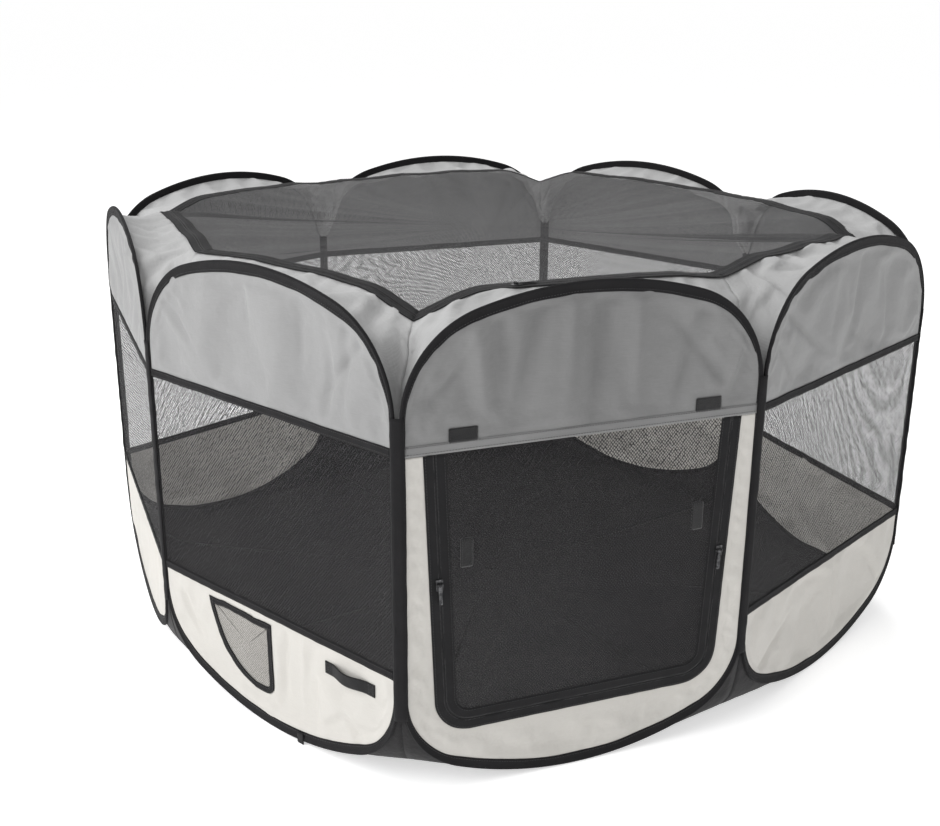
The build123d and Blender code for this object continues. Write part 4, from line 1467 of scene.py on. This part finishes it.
def topHeight(number, plan, share, inset):
    t = np.clip((inset - ring["net"]) / (penReach - ring["net"]), 0, 1)
    edge = ringHeight(number, sectorPlan(number, share, np.full_like(share, ring["net"])))
    fade = (1 - t) ** 1.6
    z = ring["middle"] + (edge - ring["middle"]) * fade
    flat = onGround(plan)
    pull = topCover["wrinkle"] * noiseAt(directions(flat), 16.0, 91) * np.clip(t * 9, 0, 1) * (1 - t) ** 1.3
    swell = topCover["swell"] * noiseAt(flat, 4.0, 93)
    return z + (swell - topCover["sag"]) * 4 * t * (1 - t) + pull


def makeTopNet():
    for number in aroundPen:
        text = str(number)
        insets = ring["net"] + (penReach - ring["net"]) * np.linspace(0, 0.985, topCover["rows"])
        obj, area = radialMesh("top_net_" + text, number, insets, topHeight)
        finish(obj, "panel_" + text, ["top_mesh"], topNet)
        squashOnto(obj, number)
        declareSheet(obj, *topCover["cut"], area * topCover["cutShare"], "stretched")


floor = dict(rows=40, edge=0.0012, base=0.0014, tuck=0.006, ripple=0.0035, thickness=0.0006,
             cut=(0.58, 0.58), cutShare=0.97)


def floorHeight(number, plan, share, inset):
    reach = np.full(plan.shape[:-1], 9.0)
    for index in range(8):
        corner = crossings[index + 1]
        inwards = -corner / np.linalg.norm(corner)
        along = panels[index + 1][1]
        lean = abs(float(along @ inwards))
        reach = np.minimum(reach, ((plan - corner) @ inwards) / lean)
    u = np.clip(pen["wireHalf"] + 0.004 - reach, 0, pen["wireHalf"] - 0.0005)
    z = edgeHeight(u, 0.0, False) - 0.001
    # the edge is sewn up behind the binding
    tuck = floor["tuck"] * smooth((0.012 - inset) / 0.010)
    z = z * smooth((0.20 - inset) / 0.12) + floor["base"] + tuck
    flat = onGround(plan)
    open = smooth((inset - 0.01) / 0.05)
    wrinkles = np.abs(noiseAt(flat, 7.0, 95)) + 0.5 * np.abs(noiseAt(flat, 19.0, 96))
    return z + floor["ripple"] * wrinkles * open


def makeFloor():
    for number in aroundPen:
        text = str(number)
        insets = floor["edge"] + (penReach - floor["edge"]) * np.linspace(0, 1, floor["rows"] + 1)[:-1] ** 1.6
        obj, area = radialMesh("floor_sector_" + text, number, insets, floorHeight)
        thicken(obj, floor["thickness"])
        finish(obj, "panel_" + text, ["floor_sheet"], floorCloth)
        squashOnto(obj, number)
        declareSheet(obj, *floor["cut"], area * floor["cutShare"], "laid")


makeCollar()
makeRingZip()
makeTopNet()
makeFloor()
print("floor, collar and top in")


sliderBevel = dict(merge=0.00001, sharp=0.6, width=0.0002)


def foldingCopy(name, node, body):
    # a copy of the top zip's slider part with its sharp edges bevelled, set on its own body
    mesh = bpy.data.meshes.new(name)
    bm = bmesh.new()
    bm.from_mesh(frame["nodes"][node].data)
    bmesh.ops.remove_doubles(bm, verts=bm.verts, dist=sliderBevel["merge"])
    sharp = [e for e in bm.edges if e.is_manifold and e.calc_face_angle() > sliderBevel["sharp"]]
    bmesh.ops.bevel(bm, geom=sharp, offset=sliderBevel["width"], segments=1, affect="EDGES")
    bm.to_mesh(mesh)
    bm.free()
    obj = bpy.data.objects.new(name, mesh)
    scene.collection.objects.link(obj)
    finish(obj, body, [node], sliderPaint)
    squashOnto(obj, 1)


foldingCopy("ring_slider_body", "top_slider", "ring_slider")
foldingCopy("ring_slider_pull", "top_pull", "ring_pull")


def refinish(obj, material):
    if not obj.material_slots:
        obj.data.materials.append(material)
    for slot in obj.material_slots:
        slot.material = material


# metal nodes keep the shape they were machined to
for name, obj in frame["nodes"].items():
    if name.startswith("hoop_wire"):
        refinish(obj, springSteel)
    elif name.startswith(("door_slider", "door_pull")):
        refinish(obj, sliderPaint)


lights = dict(sky=0.50, key=104.0, back=52.0, fill=4.0, inside=5.5, groundGlow=0.54)
ground = dict(half=300.0, height=-0.0004)


def makeStage():
    half = ground["half"]
    points = [(x * half, y * half, ground["height"]) for x, y in ((-1, -1), (1, -1), (1, 1), (-1, 1))]
    plane = meshObject("ground", points, [(0, 1, 2, 3)], smoothFaces=False)
    m = Nodes("groundPale")
    speck = m.noise(m.coords("Object"), 3.0, 2.0)
    colour = m.mixColour(speck, (0.90, 0.90, 0.90), (0.92, 0.92, 0.92))
    plane.data.materials.append(m.plug(Base_Color=colour, Roughness=0.9, Specular_IOR_Level=0.1,
                                       Emission_Color=(1.0, 1.0, 1.0),
                                       Emission_Strength=lights["groundGlow"]))


def addLight(name, place, size, power):
    data = bpy.data.lights.new(name, "AREA")
    data.shape, data.size, data.energy = "DISK", size, power
    obj = bpy.data.objects.new(name, data)
    obj.location = place
    obj.rotation_euler = (Vector((0, 0, midHeight)) - Vector(place)).to_track_quat("-Z", "Y").to_euler()
    scene.collection.objects.link(obj)


def makeLight():
    world = bpy.data.worlds.new("studio")
    world.use_nodes = True
    sky = world.node_tree.nodes["Background"]
    sky.inputs["Color"].default_value = (1.0, 1.0, 1.0, 1.0)
    sky.inputs["Strength"].default_value = lights["sky"]
    scene.world = world
    addLight("keyLight", (-3.0, -0.7, 2.6), 3.2, lights["key"])
    addLight("backLight", (1.2, 2.4, 3.4), 2.4, lights["back"])
    addLight("fillLight", (2.8, -2.2, 1.6), 2.0, lights["fill"])
    # light that falls in through the open nets, on the far walls
    data = bpy.data.lights.new("insideLight", "POINT")
    data.shadow_soft_size, data.energy = 0.10, lights["inside"]
    lamp = bpy.data.objects.new("insideLight", data)
    lamp.location = (0.0, 0.0, 0.42)
    scene.collection.objects.link(lamp)
    scene.view_settings.view_transform = "Standard"


shot = dict(azimuth=-21.24, elevation=18.662, distance=2.185, lens=47.72, roll=0.33,
            target=(0.007, 0.119, 0.25))


def makeCamera():
    azimuth, elevation = math.radians(shot["azimuth"]), math.radians(shot["elevation"])
    level = math.cos(elevation)
    back = Vector((math.sin(azimuth) * level, -math.cos(azimuth) * level, math.sin(elevation)))
    data = bpy.data.cameras.new("camera")
    data.lens, data.sensor_width = shot["lens"], 36.0
    camera = bpy.data.objects.new("camera", data)
    turn = (-back).to_track_quat("-Z", "Y").to_matrix().to_4x4()
    place = Matrix.Translation(Vector(shot["target"]) + back * shot["distance"])
    camera.matrix_world = place @ turn @ Matrix.Rotation(math.radians(shot["roll"]), 4, "Z")
    scene.collection.objects.link(camera)
    scene.camera = camera


makeStage()
makeLight()
makeCamera()
print("stage set")
